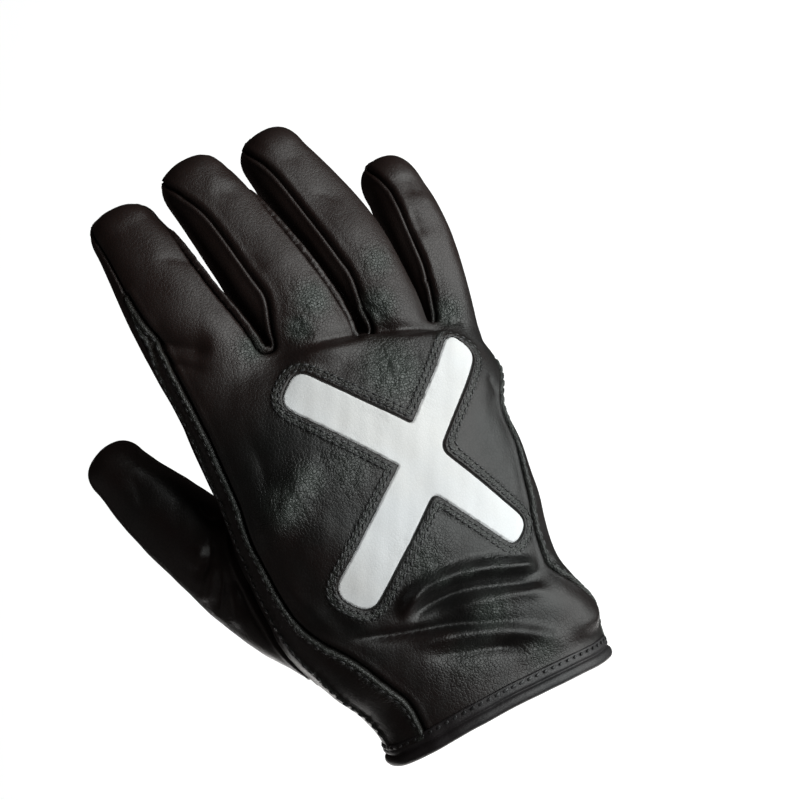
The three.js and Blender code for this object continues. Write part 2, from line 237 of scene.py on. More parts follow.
@dataclass(frozen=True)
class Palm:
    """The hand from the wrist opening to the roots of the fingers.

    Each row is y, left, right, middle, over, under and slant in millimetres: the two sides, the height of
    the widest point, the heights of the back and the palm from there, and how far the section drops for each
    millimetre across.
    """

    rows: tuple[tuple[float, ...], ...] = (
        (-8, -41.4, 41.1, 0, 25.0, 25.0, 0),
        (0, -41.2, 41.3, 0, 25.0, 25.0, 0),
        (8, -40.9, 41.8, 0, 25.4, 25.0, 0),
        (18, -44.2, 42.8, 0, 26.2, 24.0, 0),
        (27, -49.7, 41.3, 0, 26.4, 23.0, 0),
        (38.5, -55.5, 39.2, -0.5, 26.6, 22.0, 0.04),
        (51, -58.2, 40.4, 0, 27.4, 22.2, 0.04),
        (62, -58.7, 42.4, 1, 27.8, 20.5, 0.03),
        (78, -59.2, 43.4, 3, 26.5, 17.5, 0.05),
        (94, -58.7, 42.8, 5, 25.0, 14.5, 0.10),
        (107, -58.7, 46.6, 6.5, 23.0, 12.5, 0.15),
        (119, -58.2, 46.2, 7.5, 19.5, 12.0, 0.20),
        (132, -55.7, 44.3, 8, 10.5, 8.0, 0.25),
    )
    points_around: int = 120
    step: float = 2.5

    def section(self, y: float) -> np.ndarray:
        """Reads the smoothed table.

        Args:
            y: millimetres from the wrist opening.

        Returns:
            The row there.
        """
        table = np.array(self.rows, float)
        place = np.interp(y, table[:, 0], np.arange(len(table)))
        return spline(table, np.array([place]))[0]

    def ring(self, y: float, grow: float = 0.0, count: int = 0) -> np.ndarray:
        """The hand's outline at one height.

        Args:
            y: millimetres from the wrist opening.
            grow: millimetres that the outline stands out.
            count: number of points, or 0 for the usual number.

        Returns:
            The points in metres.
        """
        at, left, right, middle, over, under, slant = self.section(y)
        x = (left + right) / 2
        centre = np.array([x, at - slant * x, middle])
        sizes = ((right - left) / 2 + grow, over + grow, under + grow)
        up = np.array([0.0, 0.0, 1.0])
        return rounded_ring(centre, np.array([1.0, -slant, 0.0]), up, sizes, count or self.points_around) * MM

    def rings(self) -> list[np.ndarray]:
        """Builds the hand's outlines.

        Returns:
            The points of each, in metres.
        """
        first, last = self.rows[0][0], self.rows[-1][0]
        count = int((last - first) / self.step) + 1
        return [self.ring(y) for y in np.linspace(first, last, count)]

    def depth(self, points: np.ndarray) -> np.ndarray:
        """How far points lie outside the hand's outline, in metres and below 0 inside it.

        Args:
            points: places in metres.

        Returns:
            A rough distance for each point.
        """
        at = points / MM
        table = np.array(self.rows, float)
        level = at[:, 1].copy()
        for _ in range(2):
            rows = [np.interp(level, table[:, 0], table[:, i]) for i in range(1, 7)]
            level = at[:, 1] + rows[5] * at[:, 0]
        left, right, middle, over, under, _ = rows
        wide = (right - left) / 2
        across = np.abs(at[:, 0] - (left + right) / 2) / wide
        tall = np.where(at[:, 2] > middle, over, under)
        height = np.abs(at[:, 2] - middle) / tall
        ratio = (across**SQUARENESS + height**SQUARENESS) ** (1 / SQUARENESS)
        reach = np.maximum((ratio - 1) * np.minimum(wide, tall), level - table[-1, 0])
        return reach * MM


@dataclass(frozen=True)
class Local:
    """Where points lie in a finger's own sections.

    across and height are distances from the section's middle towards the little finger and upwards, as
    shares of its half width and half thickness. wide and thick are those halves, and at is the height of the
    section's centre along the hand, in metres.
    """

    across: np.ndarray
    height: np.ndarray
    wide: np.ndarray
    thick: np.ndarray
    at: np.ndarray

    @property
    def outside(self) -> np.ndarray:
        """The distance from the finger's outline, in metres and below 0 inside it."""
        ratio = (np.abs(self.across) ** SQUARENESS + np.abs(self.height) ** SQUARENESS) ** (1 / SQUARENESS)
        return (ratio - 1) * np.minimum(self.wide, self.thick)


@dataclass(frozen=True)
class Digit:
    """A finger or the thumb.

    roll turns the section about the finger's length, in degrees and towards the little finger's side where
    it is positive. Each row is x, y, z and the half width and half thickness in millimetres, and tip is the
    end of the leather. The limits are the sides of the slits beside the finger, and softness is how gently
    it meets them.
    """

    roll: float
    rows: tuple[tuple[float, ...], ...]
    tip: tuple[float, float, float]
    left_limit: Callable[[np.ndarray], np.ndarray] | None = None
    right_limit: Callable[[np.ndarray], np.ndarray] | None = None
    points_around: int = 72
    step: float = 2.0
    dome_steps: int = 12
    dome_fullness: float = 2.5
    dome_end: float = 0.995
    softness: float = 2.2

    def sections(self) -> list[np.ndarray]:
        """Works out the sections from the root to the rounded tip.

        Returns:
            Rows of x, y, z, half width and half thickness in millimetres.
        """
        table = np.array(self.rows, float)
        lengths = np.linalg.norm(np.diff(table[:, :3], axis=0), axis=1)
        count = int(lengths.sum() / self.step) + 1
        sections = list(spline(table, np.linspace(0, len(table) - 1, count)))
        root = sections[-1]
        reach = np.array(self.tip) - root[:3]
        for step in range(1, self.dome_steps + 1):
            share = self.dome_end * math.sin(step / self.dome_steps * math.pi / 2)
            size = (1 - share**self.dome_fullness) ** (1 / self.dome_fullness)
            sections.append(np.concatenate([root[:3] + reach * share, root[3:] * size]))
        return sections

    def frames(self) -> tuple[np.ndarray, ...]:
        """Places all the sections.

        Returns:
            Their centres, their directions along, across and up, and their half widths and half thicknesses,
            in millimetres.
        """
        sections = np.array(self.sections())
        centres = sections[:, :3]
        along = np.gradient(centres, axis=0)
        along /= np.linalg.norm(along, axis=1)[:, None]
        side = np.cross(along, [0.0, 0.0, 1.0])
        side /= np.linalg.norm(side, axis=1)[:, None]
        up = np.cross(side, along)
        turn = math.radians(self.roll)
        turned = [math.cos(turn) * way + math.sin(turn) * np.cross(along, way) for way in (side, up)]
        return centres, along, *turned, sections[:, 3], sections[:, 4]

    def rings(self) -> list[np.ndarray]:
        """Builds the finger's outlines, flattened where it presses against its neighbours.

        Returns:
            The points of each, in metres.
        """
        centres, _, sides, ups, wides, thicks = self.frames()
        rings = []
        for centre, side, up, wide, thick in zip(centres, sides, ups, wides, thicks):
            ring = rounded_ring(centre, side, up, (wide, thick, thick), self.points_around)
            rings.append(self.pressed(ring) * MM)
        return rings

    def pressed(self, ring: np.ndarray) -> np.ndarray:
        """Flattens a ring against the finger's limits.

        Args:
            ring: points in millimetres.

        Returns:
            The points, softly kept between the limits.
        """
        flat = ring.copy()
        for limit, way in ((self.right_limit, 1.0), (self.left_limit, -1.0)):
            if limit is None:
                continue
            start = way * limit(flat[:, 1]) - self.softness
            excess = way * flat[:, 0] - start
            kept = start + self.softness * (1 - np.exp(-np.maximum(excess, 0) / self.softness))
            flat[:, 0] = np.where(excess > 0, way * kept, flat[:, 0])
        return flat

    def local(self, points: np.ndarray) -> Local:
        """Reads points in the finger's own sections.

        Args:
            points: places in metres.

        Returns:
            The readings.
        """
        centres, alongs, sides, ups, wides, thicks = self.frames()
        at = points / MM
        lies_past = np.einsum("nk,mk->nm", at, alongs) - np.einsum("mk,mk->m", centres, alongs)
        before = np.clip((lies_past > 0).sum(axis=1) - 1, 0, len(centres) - 2)
        rows = np.arange(len(at))
        here, there = lies_past[rows, before], lies_past[rows, before + 1]
        share = np.clip(here / np.maximum(here - there, 1e-6), 0.0, 1.0)[:, None]
        blend = [table[before] * (1 - share) + table[before + 1] * share for table in (centres, sides, ups)]
        scale = [t[before] * (1 - share[:, 0]) + t[before + 1] * share[:, 0] for t in (wides, thicks)]
        offset = at - blend[0]
        wide, thick = (np.maximum(value, 0.5) for value in scale)
        across = np.einsum("nk,nk->n", offset, blend[1]) / wide
        height = np.einsum("nk,nk->n", offset, blend[2]) / thick
        return Local(across, height, wide * MM, thick * MM, blend[0][:, 1] * MM)


FINGER_TABLES = {
    "index": (
        -4.0,
        (
            (-40.2, 112, 8.0, 17.0, 14.5),
            (-41.7, 141, 8.0, 17.9, 13.5),
            (-44.8, 161, 7.8, 16.1, 12.0),
            (-47.0, 178, 6.2, 13.7, 10.7),
            (-48.9, 190.5, 4.0, 11.2, 9.5),
        ),
        (-49.5, 200.5, 3.0),
    ),
    "middle": (
        1.0,
        (
            (-9.2, 112, 11.0, 15.0, 14.5),
            (-10.4, 144, 11.0, 15.6, 13.5),
            (-14.4, 165, 10.8, 15.1, 11.8),
            (-18.6, 185, 9.0, 12.9, 10.5),
            (-21.5, 195.5, 8.0, 11.4, 9.8),
        ),
        (-23.2, 206, 7.0),
    ),
    "ring": (
        16.0,
        (
            (18.8, 104, 8.0, 12.5, 13.5),
            (17.6, 138, 9.0, 13.5, 13.0),
            (15.1, 161, 8.8, 14.7, 11.4),
            (10.6, 182, 7.0, 13.3, 10.3),
            (7.5, 195, 6.0, 11.2, 9.6),
        ),
        (5.3, 206, 5.0),
    ),
    "little": (
        25.0,
        (
            (32.8, 95, 3.0, 9.2, 12.6),
            (36.4, 119, 3.0, 10.2, 12.0),
            (40.2, 138, 2.9, 10.6, 11.0),
            (43.1, 160, 1.5, 11.4, 10.0),
            (43.6, 171, 0.0, 10.2, 9.2),
        ),
        (42.6, 184.5, -2.0),
    ),
    "thumb": (
        -40.0,
        (
            (-37.2, 43, -7.0, 18.0, 14.5),
            (-50.7, 64, -14.0, 18.0, 14.0),
            (-62.2, 87.4, -20.5, 15.7, 13.0),
            (-72.8, 110.7, -24.6, 12.7, 11.0),
            (-77.8, 123.5, -26.0, 10.2, 9.6),
        ),
        (-81.2, 132.6, -27.0),
    ),
}
FINGERS = ("index", "middle", "ring", "little")
CROTCHES = {("index", "middle"): 131.5, ("middle", "ring"): 127.0, ("ring", "little"): 118.5}
SLIT_HALF_WIDTH = 0.95
SLIT_OPENING = 1.5
SLIT_RELEASE = 30.0


def slit(near: str, far: str, start: float, way: float) -> Callable[[np.ndarray], np.ndarray]:
    """The side of the narrow slit between two fingers.

    Args:
        near: the finger on the thumb's side.
        far: the finger on the little finger's side.
        start: height of the crotch along the hand, in millimetres.
        way: 1 for the far finger's side of the slit, -1 for the near finger's.

    Returns:
        A function from heights along the hand to x, both in millimetres.
    """
    near_rows, far_rows = (np.array(FINGER_TABLES[name][1], float) for name in (near, far))

    def limit(y: np.ndarray) -> np.ndarray:
        """The slit's side.

        Args:
            y: heights along the hand.

        Returns:
            The side at each height.
        """
        near_side = np.interp(y, near_rows[:, 1], near_rows[:, 0] + near_rows[:, 3])
        far_side = np.interp(y, far_rows[:, 1], far_rows[:, 0] - far_rows[:, 3])
        middle = (near_side + far_side) / 2
        below = np.maximum(start - y, 0.0)
        return middle + way * SLIT_HALF_WIDTH - way * np.minimum(below * SLIT_OPENING, SLIT_RELEASE)

    return limit


def make_fingers() -> dict[str, Digit]:
    """Builds the four fingers and the thumb, each with its limits against its neighbours.

    Returns:
        The fingers by name.
    """
    limits: dict[str, dict[str, Callable[[np.ndarray], np.ndarray]]] = {name: {} for name in FINGER_TABLES}
    for (near, far), start in CROTCHES.items():
        limits[near]["right_limit"] = slit(near, far, start, -1.0)
        limits[far]["left_limit"] = slit(near, far, start, 1.0)
    return {name: Digit(*table, **limits[name]) for name, table in FINGER_TABLES.items()}


class Piece(Enum):
    """The sewn pieces that the skin is cut into, named as the frame's nodes are."""

    BACK = "back_panel"
    PALM = "palm_panel"
    INDEX_MIDDLE = "fourchette_index_middle"
    MIDDLE_RING = "fourchette_middle_ring"
    RING_LITTLE = "fourchette_ring_little"
    THUMB = "thumb"
    INDEX_BAND = "index_side_band"
    LITTLE_BAND = "little_side_band"
    INLAY = "cross_inlay"


PIECES = list(Piece)
Field = Callable[[np.ndarray], np.ndarray]


@dataclass(frozen=True)
class Strip:
    """A strip of leather between two fingers, down one finger's side and up the next one's.

    The seams' heights are shares of the fingers' half thickness. Where the fingers touch, from touching over
    the length of parting past the crotch, the near seam drops out of sight.
    """

    near: str
    far: str
    far_seam: float
    near_seam: float = 0.56
    near_hidden: float = 0.15
    touching: float = 20.0
    parting: float = 24.0
    seam_height: float = 0.73
    meeting: float = 0.97
    closing: float = 14.0
    dip: float = 0.45
    dip_length: float = 26.0
    corner: float = 3.5 * MM
    reach: float = 4.0 * MM

    @property
    def start(self) -> float:
        """The height of the crotch along the hand, in millimetres."""
        return CROTCHES[self.near, self.far]

    def inside(self, digits: dict[str, Digit], points: np.ndarray) -> np.ndarray:
        """A field that is above 0 on the strip, in metres.

        Args:
            digits: the fingers.
            points: places in metres.

        Returns:
            The field at each point.
        """
        sides = []
        for name, way in ((self.near, 1.0), (self.far, -1.0)):
            digit = digits[name]
            local = digit.local(points)
            reached = reached_share(digit, local, self.start, self.meeting)
            opening = 1 - np.clip(reached, 0.0, None) ** self.closing
            past = local.at / MM - self.start
            far_top = self.far_seam * (1 - self.dip * (1 - smoothstep(past, 0.0, self.dip_length)))
            hidden = smoothstep(past, self.touching, self.touching + self.parting)
            near_top = self.near_seam - (self.near_seam - self.near_hidden) * hidden
            top = (near_top if way > 0 else far_top) * opening - local.height
            height = np.minimum(top, self.seam_height * opening + local.height) * local.thick
            side = smooth_min(height, local.across * way * local.wide, self.corner / 2)
            side = smooth_min(side, points[:, 1] - self.start * MM, self.corner)
            sides.append(np.where(np.abs(local.outside) < self.reach, side, -self.reach))
        return -smooth_min(-sides[0], -sides[1], self.corner)


def reached_share(digit: Digit, local: Local, start: float, meeting: float) -> np.ndarray:
    """How far along a finger's side seam points lie, from 0 at its start to 1 where the seams meet.

    Args:
        digit: the finger.
        local: the points in its sections.
        start: height along the hand where the seam starts, in millimetres.
        meeting: share of the way to the tip where the seams meet.

    Returns:
        The share for each point.
    """
    length = (digit.tip[1] - start) * meeting
    return (local.at / MM - start) / length


@dataclass(frozen=True)
class Band:
    """A topstitched band along an outer side, one row of y, inner, low and high a section, in millimetres.

    way is 1 for the little finger's side. inner is how far the band reaches into the hand, and low and high
    are its edges.
    """

    way: float
    rows: tuple[tuple[float, float, float, float], ...]
    taper: float = 0.35

    def edges(self, y: np.ndarray) -> tuple[np.ndarray, np.ndarray, np.ndarray]:
        """Reads the smoothed table.

        Args:
            y: heights along the hand, in millimetres.

        Returns:
            The inner limit, the lower edge and the upper edge there, in millimetres.
        """
        table = np.array(self.rows, float)
        smoothed = spline(table, np.interp(y, table[:, 0], np.arange(len(table))))
        return smoothed[:, 1], smoothed[:, 2], smoothed[:, 3]

    def inside(self, points: np.ndarray) -> np.ndarray:
        """A field that is above 0 on the band, in metres.

        Args:
            points: places in metres.

        Returns:
            The field at each point.
        """
        at = points / MM
        inner, low, high = self.edges(at[:, 1])
        height = np.minimum(at[:, 2] - low, high - at[:, 2])
        side = self.way * (at[:, 0] - inner)
        end = (self.rows[-1][0] - at[:, 1]) * self.taper
        return np.minimum(np.minimum(height, side), end) * MM


BANDS = {
    Piece.INDEX_BAND: Band(
        -1.0,
        (
            (-8, -15, 2.0, 17.8),
            (6.8, -15, 2.0, 17.8),
            (20, -18, 4.0, 19.6),
            (36, -25.5, 5.5, 19.0),
            (53, -30, 3.8, 14.6),
            (66, -32, 3.8, 13.9),
            (83, -34, 6.5, 14.2),
            (97, -36, 8.0, 16.0),
            (121, -38.5, 10.0, 16.5),
            (145, -40.5, 10.5, 16.3),
            (158, -42.5, 12.2, 15.8),
            (172, -44.8, 12.0, 13.2),
        ),
    ),
    Piece.LITTLE_BAND: Band(
        1.0,
        (
            (-8, 15, -2.5, 8.0),
            (6.8, 15, -2.5, 8.0),
            (34, 15, -1.0, 17.4),
            (92, 26, -2.0, 16.8),
            (112, 38, -2.5, 6.0),
            (135, 41, -3.0, -1.0),
        ),
    ),
}
STRIPS = {
    Piece.INDEX_MIDDLE: Strip("index", "middle", 0.9),
    Piece.MIDDLE_RING: Strip("middle", "ring", 0.77),
    Piece.RING_LITTLE: Strip("ring", "little", 0.68),
}


@dataclass(frozen=True)
class Saltire:
    """The white cross on the back of the hand, one row an arm, counter-clockwise from the upper left one.

    A row is the middle of the arm's rounded end, its width there, and the inner corner between this arm and
    the next, in millimetres. margin is how far from the cross its distance is read, and back_from is the
    height over which a point is on the back of the hand.
    """

    arms: tuple[tuple[float, float, float, float, float], ...] = (
        (-27.3, 123.9, 12.6, -5.7, 86.8),
        (-37.1, 53.4, 14.2, 0.8, 74.0),
        (24.1, 49.8, 10.7, 9.6, 85.4),
        (33.3, 113.9, 11.3, 4.2, 97.0),
    )
    corner_rounds: tuple[float, float, float, float] = (0.4, 2.2, 3.0, 1.2)
    end_rounding: float = 0.42
    facets: int = 8
    margin: float = 12.0
    back_from: float = 8 * MM

    def outline(self, grow: float = 0.0) -> np.ndarray:
        """The cross's outline seen from above.

        Args:
            grow: millimetres that it is moved outwards.

        Returns:
            Points in millimetres, once around.
        """
        arms = np.array(self.arms)
        centre = arms[:, 3:5].mean(axis=0)
        points: list[np.ndarray] = []
        for (x, y, width, corner_x, corner_y), rounding in zip(self.arms, self.corner_rounds):
            end = np.array([x, y])
            along = (end - centre) / np.linalg.norm(end - centre)
            left = np.array([-along[1], along[0]])
            half = width / 2 + grow
            radius = width * self.end_rounding + grow
            corners = [(grow - radius, -half), (grow, -half), (grow, -half + radius)]
            points += self.curve([end + along * f + left * s for f, s in corners])
            corners = [(grow, half - radius), (grow, half), (grow - radius, half)]
            points += self.curve([end + along * f + left * s for f, s in corners])
            corner = np.array([corner_x, corner_y])
            outwards = (corner - centre) / np.linalg.norm(corner - centre)
            corner = corner + outwards * grow * math.sqrt(2)
            points += self.inner_corner(points[-1], corner, rounding)
        return np.array(points)

    def curve(self, three: Sequence[np.ndarray]) -> list[np.ndarray]:
        """Points of the curve from the first point to the third one that bends at the second."""
        shares = np.linspace(0, 1, self.facets + 1)
        return [(1 - t) ** 2 * three[0] + 2 * t * (1 - t) * three[1] + t**2 * three[2] for t in shares]

    def inner_corner(self, before: np.ndarray, corner: np.ndarray, rounding: float) -> list[np.ndarray]:
        """Points of an inner corner.

        Args:
            before: the outline's last point.
            corner: the sharp corner.
            rounding: length that the corner takes off each edge, in millimetres.

        Returns:
            The corner's points, rounded a little.
        """
        index = int(np.argmin([np.hypot(*(np.array(arm[3:5]) - corner)) for arm in self.arms]))
        following = np.array(self.arms[(index + 1) % len(self.arms)][:2])
        to_last = (before - corner) / np.linalg.norm(before - corner)
        to_next = (following - corner) / np.linalg.norm(following - corner)
        return self.curve([corner + to_last * rounding, corner, corner + to_next * rounding])

    def distance(self, points: np.ndarray) -> np.ndarray:
        """Distance from the outline seen from above, in metres and below 0 on the cross.

        Args:
            points: places in metres.

        Returns:
            The distance for each point, or a large one away from the cross and on the palm's side.
        """
        outline = self.outline()
        at = points[:, :2] / MM
        low, high = outline.min(axis=0) - self.margin, outline.max(axis=0) + self.margin
        near = ((at > low) & (at < high)).all(axis=1) & (points[:, 2] > self.back_from)
        found = np.full(len(points), self.margin)
        found[near] = polygon_distance(at[near], outline)
        return found * MM


def polygon_distance(points: np.ndarray, outline: np.ndarray) -> np.ndarray:
    """Distance of flat points from a closed outline, below 0 inside it.

    Args:
        points: places, two numbers each.
        outline: the outline's corners.

    Returns:
        The distance for each point.
    """
    starts, ends = outline, np.roll(outline, -1, axis=0)
    nearest = np.full(len(points), np.inf)
    crossings = np.zeros(len(points), int)
    for start, end in zip(starts, ends):
        edge = end - start
        length = max(float(edge @ edge), 1e-12)
        offset = points - start
        share = np.clip(offset @ edge / length, 0.0, 1.0)
        nearest = np.minimum(nearest, np.linalg.norm(offset - share[:, None] * edge, axis=1))
        spans = (start[1] > points[:, 1]) != (end[1] > points[:, 1])
        height = end[1] - start[1]
        x = start[0] + (points[:, 1] - start[1]) / (height if abs(height) > 1e-12 else 1.0) * edge[0]
        crossings += (spans & (points[:, 0] < x)).astype(int)
    return np.where(crossings % 2 == 1, -nearest, nearest)


def waves(points: np.ndarray, length: float, seed: int, count: int = 9) -> np.ndarray:
    """A soft uneven field, made of crossing waves.

    Args:
        points: places in metres.
        length: mean wave length, in metres.
        seed: number that picks the waves.
        count: number of waves.

    Returns:
        A value of about -1 to 1 for each point.
    """
    dice = np.random.RandomState(seed)
    directions = dice.normal(size=(count, 3))
    directions /= np.linalg.norm(directions, axis=1)[:, None]
    rates = 2 * math.pi / (length * dice.uniform(0.65, 1.6, count))
    phases = dice.uniform(0, 2 * math.pi, count)
    total = np.sin(points @ (directions * rates[:, None]).T + phases).sum(axis=1)
    return total / math.sqrt(count)


class Shape(Enum):
    """Profiles of a fold across its line, where the left side of the line is above 0."""

    RIDGE = "rounded ridge"
    GROOVE = "sharp valley"
    LEDGE = "bulge that drops off at the line"
    PUFF = "broad swelling"

    def profile(self, across: np.ndarray) -> np.ndarray:
        """The fold's height.

        Args:
            across: distances from its line, as shares of its half width.

        Returns:
            The heights, as shares of its full height.
        """
        if self is Shape.RIDGE:
            return np.exp(-(across**2))
        if self is Shape.GROOVE:
            return -np.exp(-(np.sqrt(across**2 + 0.04) - 0.2) * 1.5)
        if self is Shape.LEDGE:
            return 0.5 * (1 + np.tanh(across * 3)) * np.exp(-((np.maximum(across, 0) / 2.4) ** 2))
        return np.exp(-((across / 1.4) ** 2) * 0.8)


class Seen(Enum):
    """What a fold's line is drawn on."""

    PHOTO = "pixels of the photograph"
    UNDER = "millimetres across and along the hand, seen from the palm's side"


FAR_UNDER = -300 * MM
LINE_STEPS = {Seen.PHOTO: 4.0, Seen.UNDER: 1.5}
FOLD_REACH = 4.5
FOLD_FACING = (-0.1, 0.5)
FOLD_ENDING = 0.7


@dataclass(frozen=True)
class Fold:
    """A fold, crease or swelling of the leather.

    size is its half width and height its height in millimetres. fade is the share of its line over which it
    dies away at each end, apart from a puff, which is rounded by itself.
    """

    seen: Seen
    shape: Shape
    size: float
    height: float
    fade: float
    line: tuple[tuple[float, float], ...]

    def rays(self, view: PhotoView) -> list[tuple[Vector, Vector]]:
        """Rays that hit the leather along the line.

        Args:
            view: the photograph's camera.

        Returns:
            Origins and directions.
        """
        knots = np.array(self.line, float)
        if len(knots) > 1:
            length = np.linalg.norm(np.diff(knots, axis=0), axis=1).sum()
            count = max(4, int(length / LINE_STEPS[self.seen]))
            knots = spline(knots, np.linspace(0, len(knots) - 1, count))
        knots = knots.tolist()
        if self.seen is Seen.PHOTO:
            return [(view.place(), view.ray(x, y)) for x, y in knots]
        return [(Vector((x * MM, y * MM, FAR_UNDER)), Vector((0, 0, 1))) for x, y in knots]

    def lift(self, points: np.ndarray, normals: np.ndarray, tree: BVHTree, view: PhotoView) -> np.ndarray:
        """How far the fold raises each point.

        Args:
            points: the smooth skin's points.
            normals: their normals.
            tree: the smooth skin, to place the line on.
            view: the photograph's camera.

        Returns:
            Heights in metres.
        """
        hits = [tree.ray_cast(origin, direction) for origin, direction in self.rays(view)]
        hits = [hit for hit in hits if hit[0] is not None]
        lifted = np.zeros(len(points))
        if not hits:
            return lifted
        path = np.array([hit[0] for hit in hits])
        facing = np.array([hit[1] for hit in hits])
        reach = self.size * MM * FOLD_REACH
        low, high = path.min(axis=0) - reach, path.max(axis=0) + reach
        chosen = np.flatnonzero(((points > low) & (points < high)).all(axis=1))
        distance, side, along, normal = path_distance(points[chosen], path, facing)
        turned = np.einsum("nk,nk->n", normals[chosen], normal)
        across = side * distance / (self.size * MM)
        ends = smoothstep(along, 0, self.fade) * smoothstep(1 - along, 0, self.fade)
        if self.shape is Shape.PUFF:
            ends = 1.0
        height = self.shape.profile(across) * ends * smoothstep(turned, *FOLD_FACING)
        height *= 1 - smoothstep(distance, reach * FOLD_ENDING, reach)
        lifted[chosen] = height * self.height * MM
        return lifted


def path_distance(points: np.ndarray, path: np.ndarray, facing: np.ndarray) -> tuple[np.ndarray, ...]:
    """Reads points against a path on a surface.

    Args:
        points: places in metres.
        path: the path's points.
        facing: the surface's normals there.

    Returns:
        The distance, the side, which is 1 on the left of the path seen from outside, how far along from 0 to
        1, and the surface's normal.
    """
    best = np.full(len(points), np.inf)
    side = np.ones(len(points))
    along = np.full(len(points), 0.5)
    normal = np.tile(facing[0], (len(points), 1))
    if len(path) == 1:
        return np.linalg.norm(points - path[0], axis=1), side, along, normal
    lengths = np.linalg.norm(np.diff(path, axis=0), axis=1)
    before = np.concatenate([[0], np.cumsum(lengths)])
    for i, length in enumerate(lengths):
        edge = path[i + 1] - path[i]
        offset = points - path[i]
        share = np.clip(offset @ edge / max(length**2, 1e-14), 0, 1)
        gap = offset - share[:, None] * edge
        distance = np.linalg.norm(gap, axis=1)
        nearer = distance < best
        best[nearer] = distance[nearer]
        left = np.cross(facing[i], edge)
        side[nearer] = np.where(gap[nearer] @ left >= 0, 1.0, -1.0)
        along[nearer] = (before[i] + share[nearer] * length) / before[-1]
        normal[nearer] = facing[i]
    return best, side, along, normal


RIDGE, GROOVE, LEDGE, PUFF = Shape.RIDGE, Shape.GROOVE, Shape.LEDGE, Shape.PUFF
WRIST_FOLDS = (
    (PUFF, 7.0, 1.2, 0.3, (450, 545), (520, 552)),
    (RIDGE, 1.8, 2.8, 0.16, (399, 620), (408, 600), (422, 585), (441, 576), (461, 570), (489, 566), (535, 565)),
    (LEDGE, 1.8, 3.2, 0.16, (403, 624), (415, 604), (437, 589), (461, 580), (491, 574), (540, 572)),
    (GROOVE, 2.6, 3.2, 0.2, (409, 628), (422, 612), (442, 600), (465, 591), (497, 586), (540, 582)),
    (PUFF, 4.6, 2.6, 0.3, (478, 604), (520, 600), (560, 604), (588, 622)),
    (RIDGE, 2.2, 1.9, 0.25, (438, 615), (460, 606), (482, 600), (517, 594), (550, 594)),
    (GROOVE, 2.0, 3.6, 0.28, (340, 641), (385, 637), (424, 630), (456, 624), (488, 622), (526, 620)),
    (RIDGE, 2.6, 3.0, 0.25, (404, 645), (436, 639), (468, 634), (505, 632), (540, 637), (565, 646)),
    (GROOVE, 3.2, 2.0, 0.3, (425, 660), (470, 652), (505, 649), (535, 655)),
    (PUFF, 5.0, 1.2, 0.3, (548, 658), (578, 648)),
    (RIDGE, 2.6, 1.0, 0.4, (330, 600), (352, 618), (380, 624)),
)
KNUCKLE_FOLDS = (
    (LEDGE, 4.8, 2.6, 0.16, (478, 346), (440, 334), (400, 335), (360, 339), (325, 346), (295, 354), (272, 358)),
    (GROOVE, 2.4, 1.8, 0.25, (462, 331), (430, 328), (400, 329), (362, 333), (330, 339), (300, 347)),
    (RIDGE, 4.0, 0.7, 0.3, (480, 352), (440, 344), (380, 346), (330, 355), (285, 366)),
    (GROOVE, 4.2, 2.6, 0.25, (140, 332), (160, 343), (185, 348), (215, 349)),
    (GROOVE, 2.2, 1.0, 0.35, (150, 356), (180, 366), (215, 372)),
    (PUFF, 6.0, 1.0, 0.3, (180, 320), (215, 330), (240, 345)),
    (PUFF, 6.5, 1.3, 0.3, (355, 235), (375, 262), (390, 300)),
    (PUFF, 6.0, 0.9, 0.3, (285, 265), (305, 300), (318, 330)),
    (PUFF, 5.0, 0.8, 0.3, (445, 215), (455, 260), (462, 300)),
    (GROOVE, 1.5, 0.7, 0.35, (285, 318), (297, 322), (306, 330)),
    (GROOVE, 1.4, 0.7, 0.35, (283, 330), (300, 334), (316, 337)),
    (GROOVE, 1.4, 0.7, 0.35, (366, 300), (378, 314), (392, 326)),
    (GROOVE, 1.3, 0.6, 0.35, (372, 322), (385, 328), (398, 331)),
    (GROOVE, 1.3, 0.6, 0.35, (358, 286), (366, 302), (372, 318)),
    (GROOVE, 1.5, 0.8, 0.35, (434, 318), (450, 322), (466, 322)),
    (GROOVE, 1.3, 0.6, 0.35, (432, 304), (445, 310), (457, 309)),
)
FINGER_FOLDS = (
    (GROOVE, 3.5, 0.5, 0.4, (150, 262), (175, 258), (205, 268)),
    (GROOVE, 3.5, 0.3, 0.4, (208, 190), (228, 192), (240, 200)),
    (RIDGE, 3.5, 0.25, 0.4, (200, 172), (222, 180), (232, 190)),
    (GROOVE, 3.5, 0.4, 0.4, (308, 190), (330, 196), (345, 206)),
    (GROOVE, 3.0, 0.25, 0.4, (276, 163), (290, 158), (304, 160)),
    (GROOVE, 4.0, 0.8, 0.35, (412, 205), (416, 222), (424, 240)),
    (GROOVE, 3.5, 0.5, 0.35, (402, 172), (408, 185), (415, 198)),
    (RIDGE, 4.0, 0.6, 0.4, (418, 190), (428, 205), (434, 222)),
    (GROOVE, 4.0, 0.5, 0.4, (230, 255), (252, 262), (268, 275)),
)
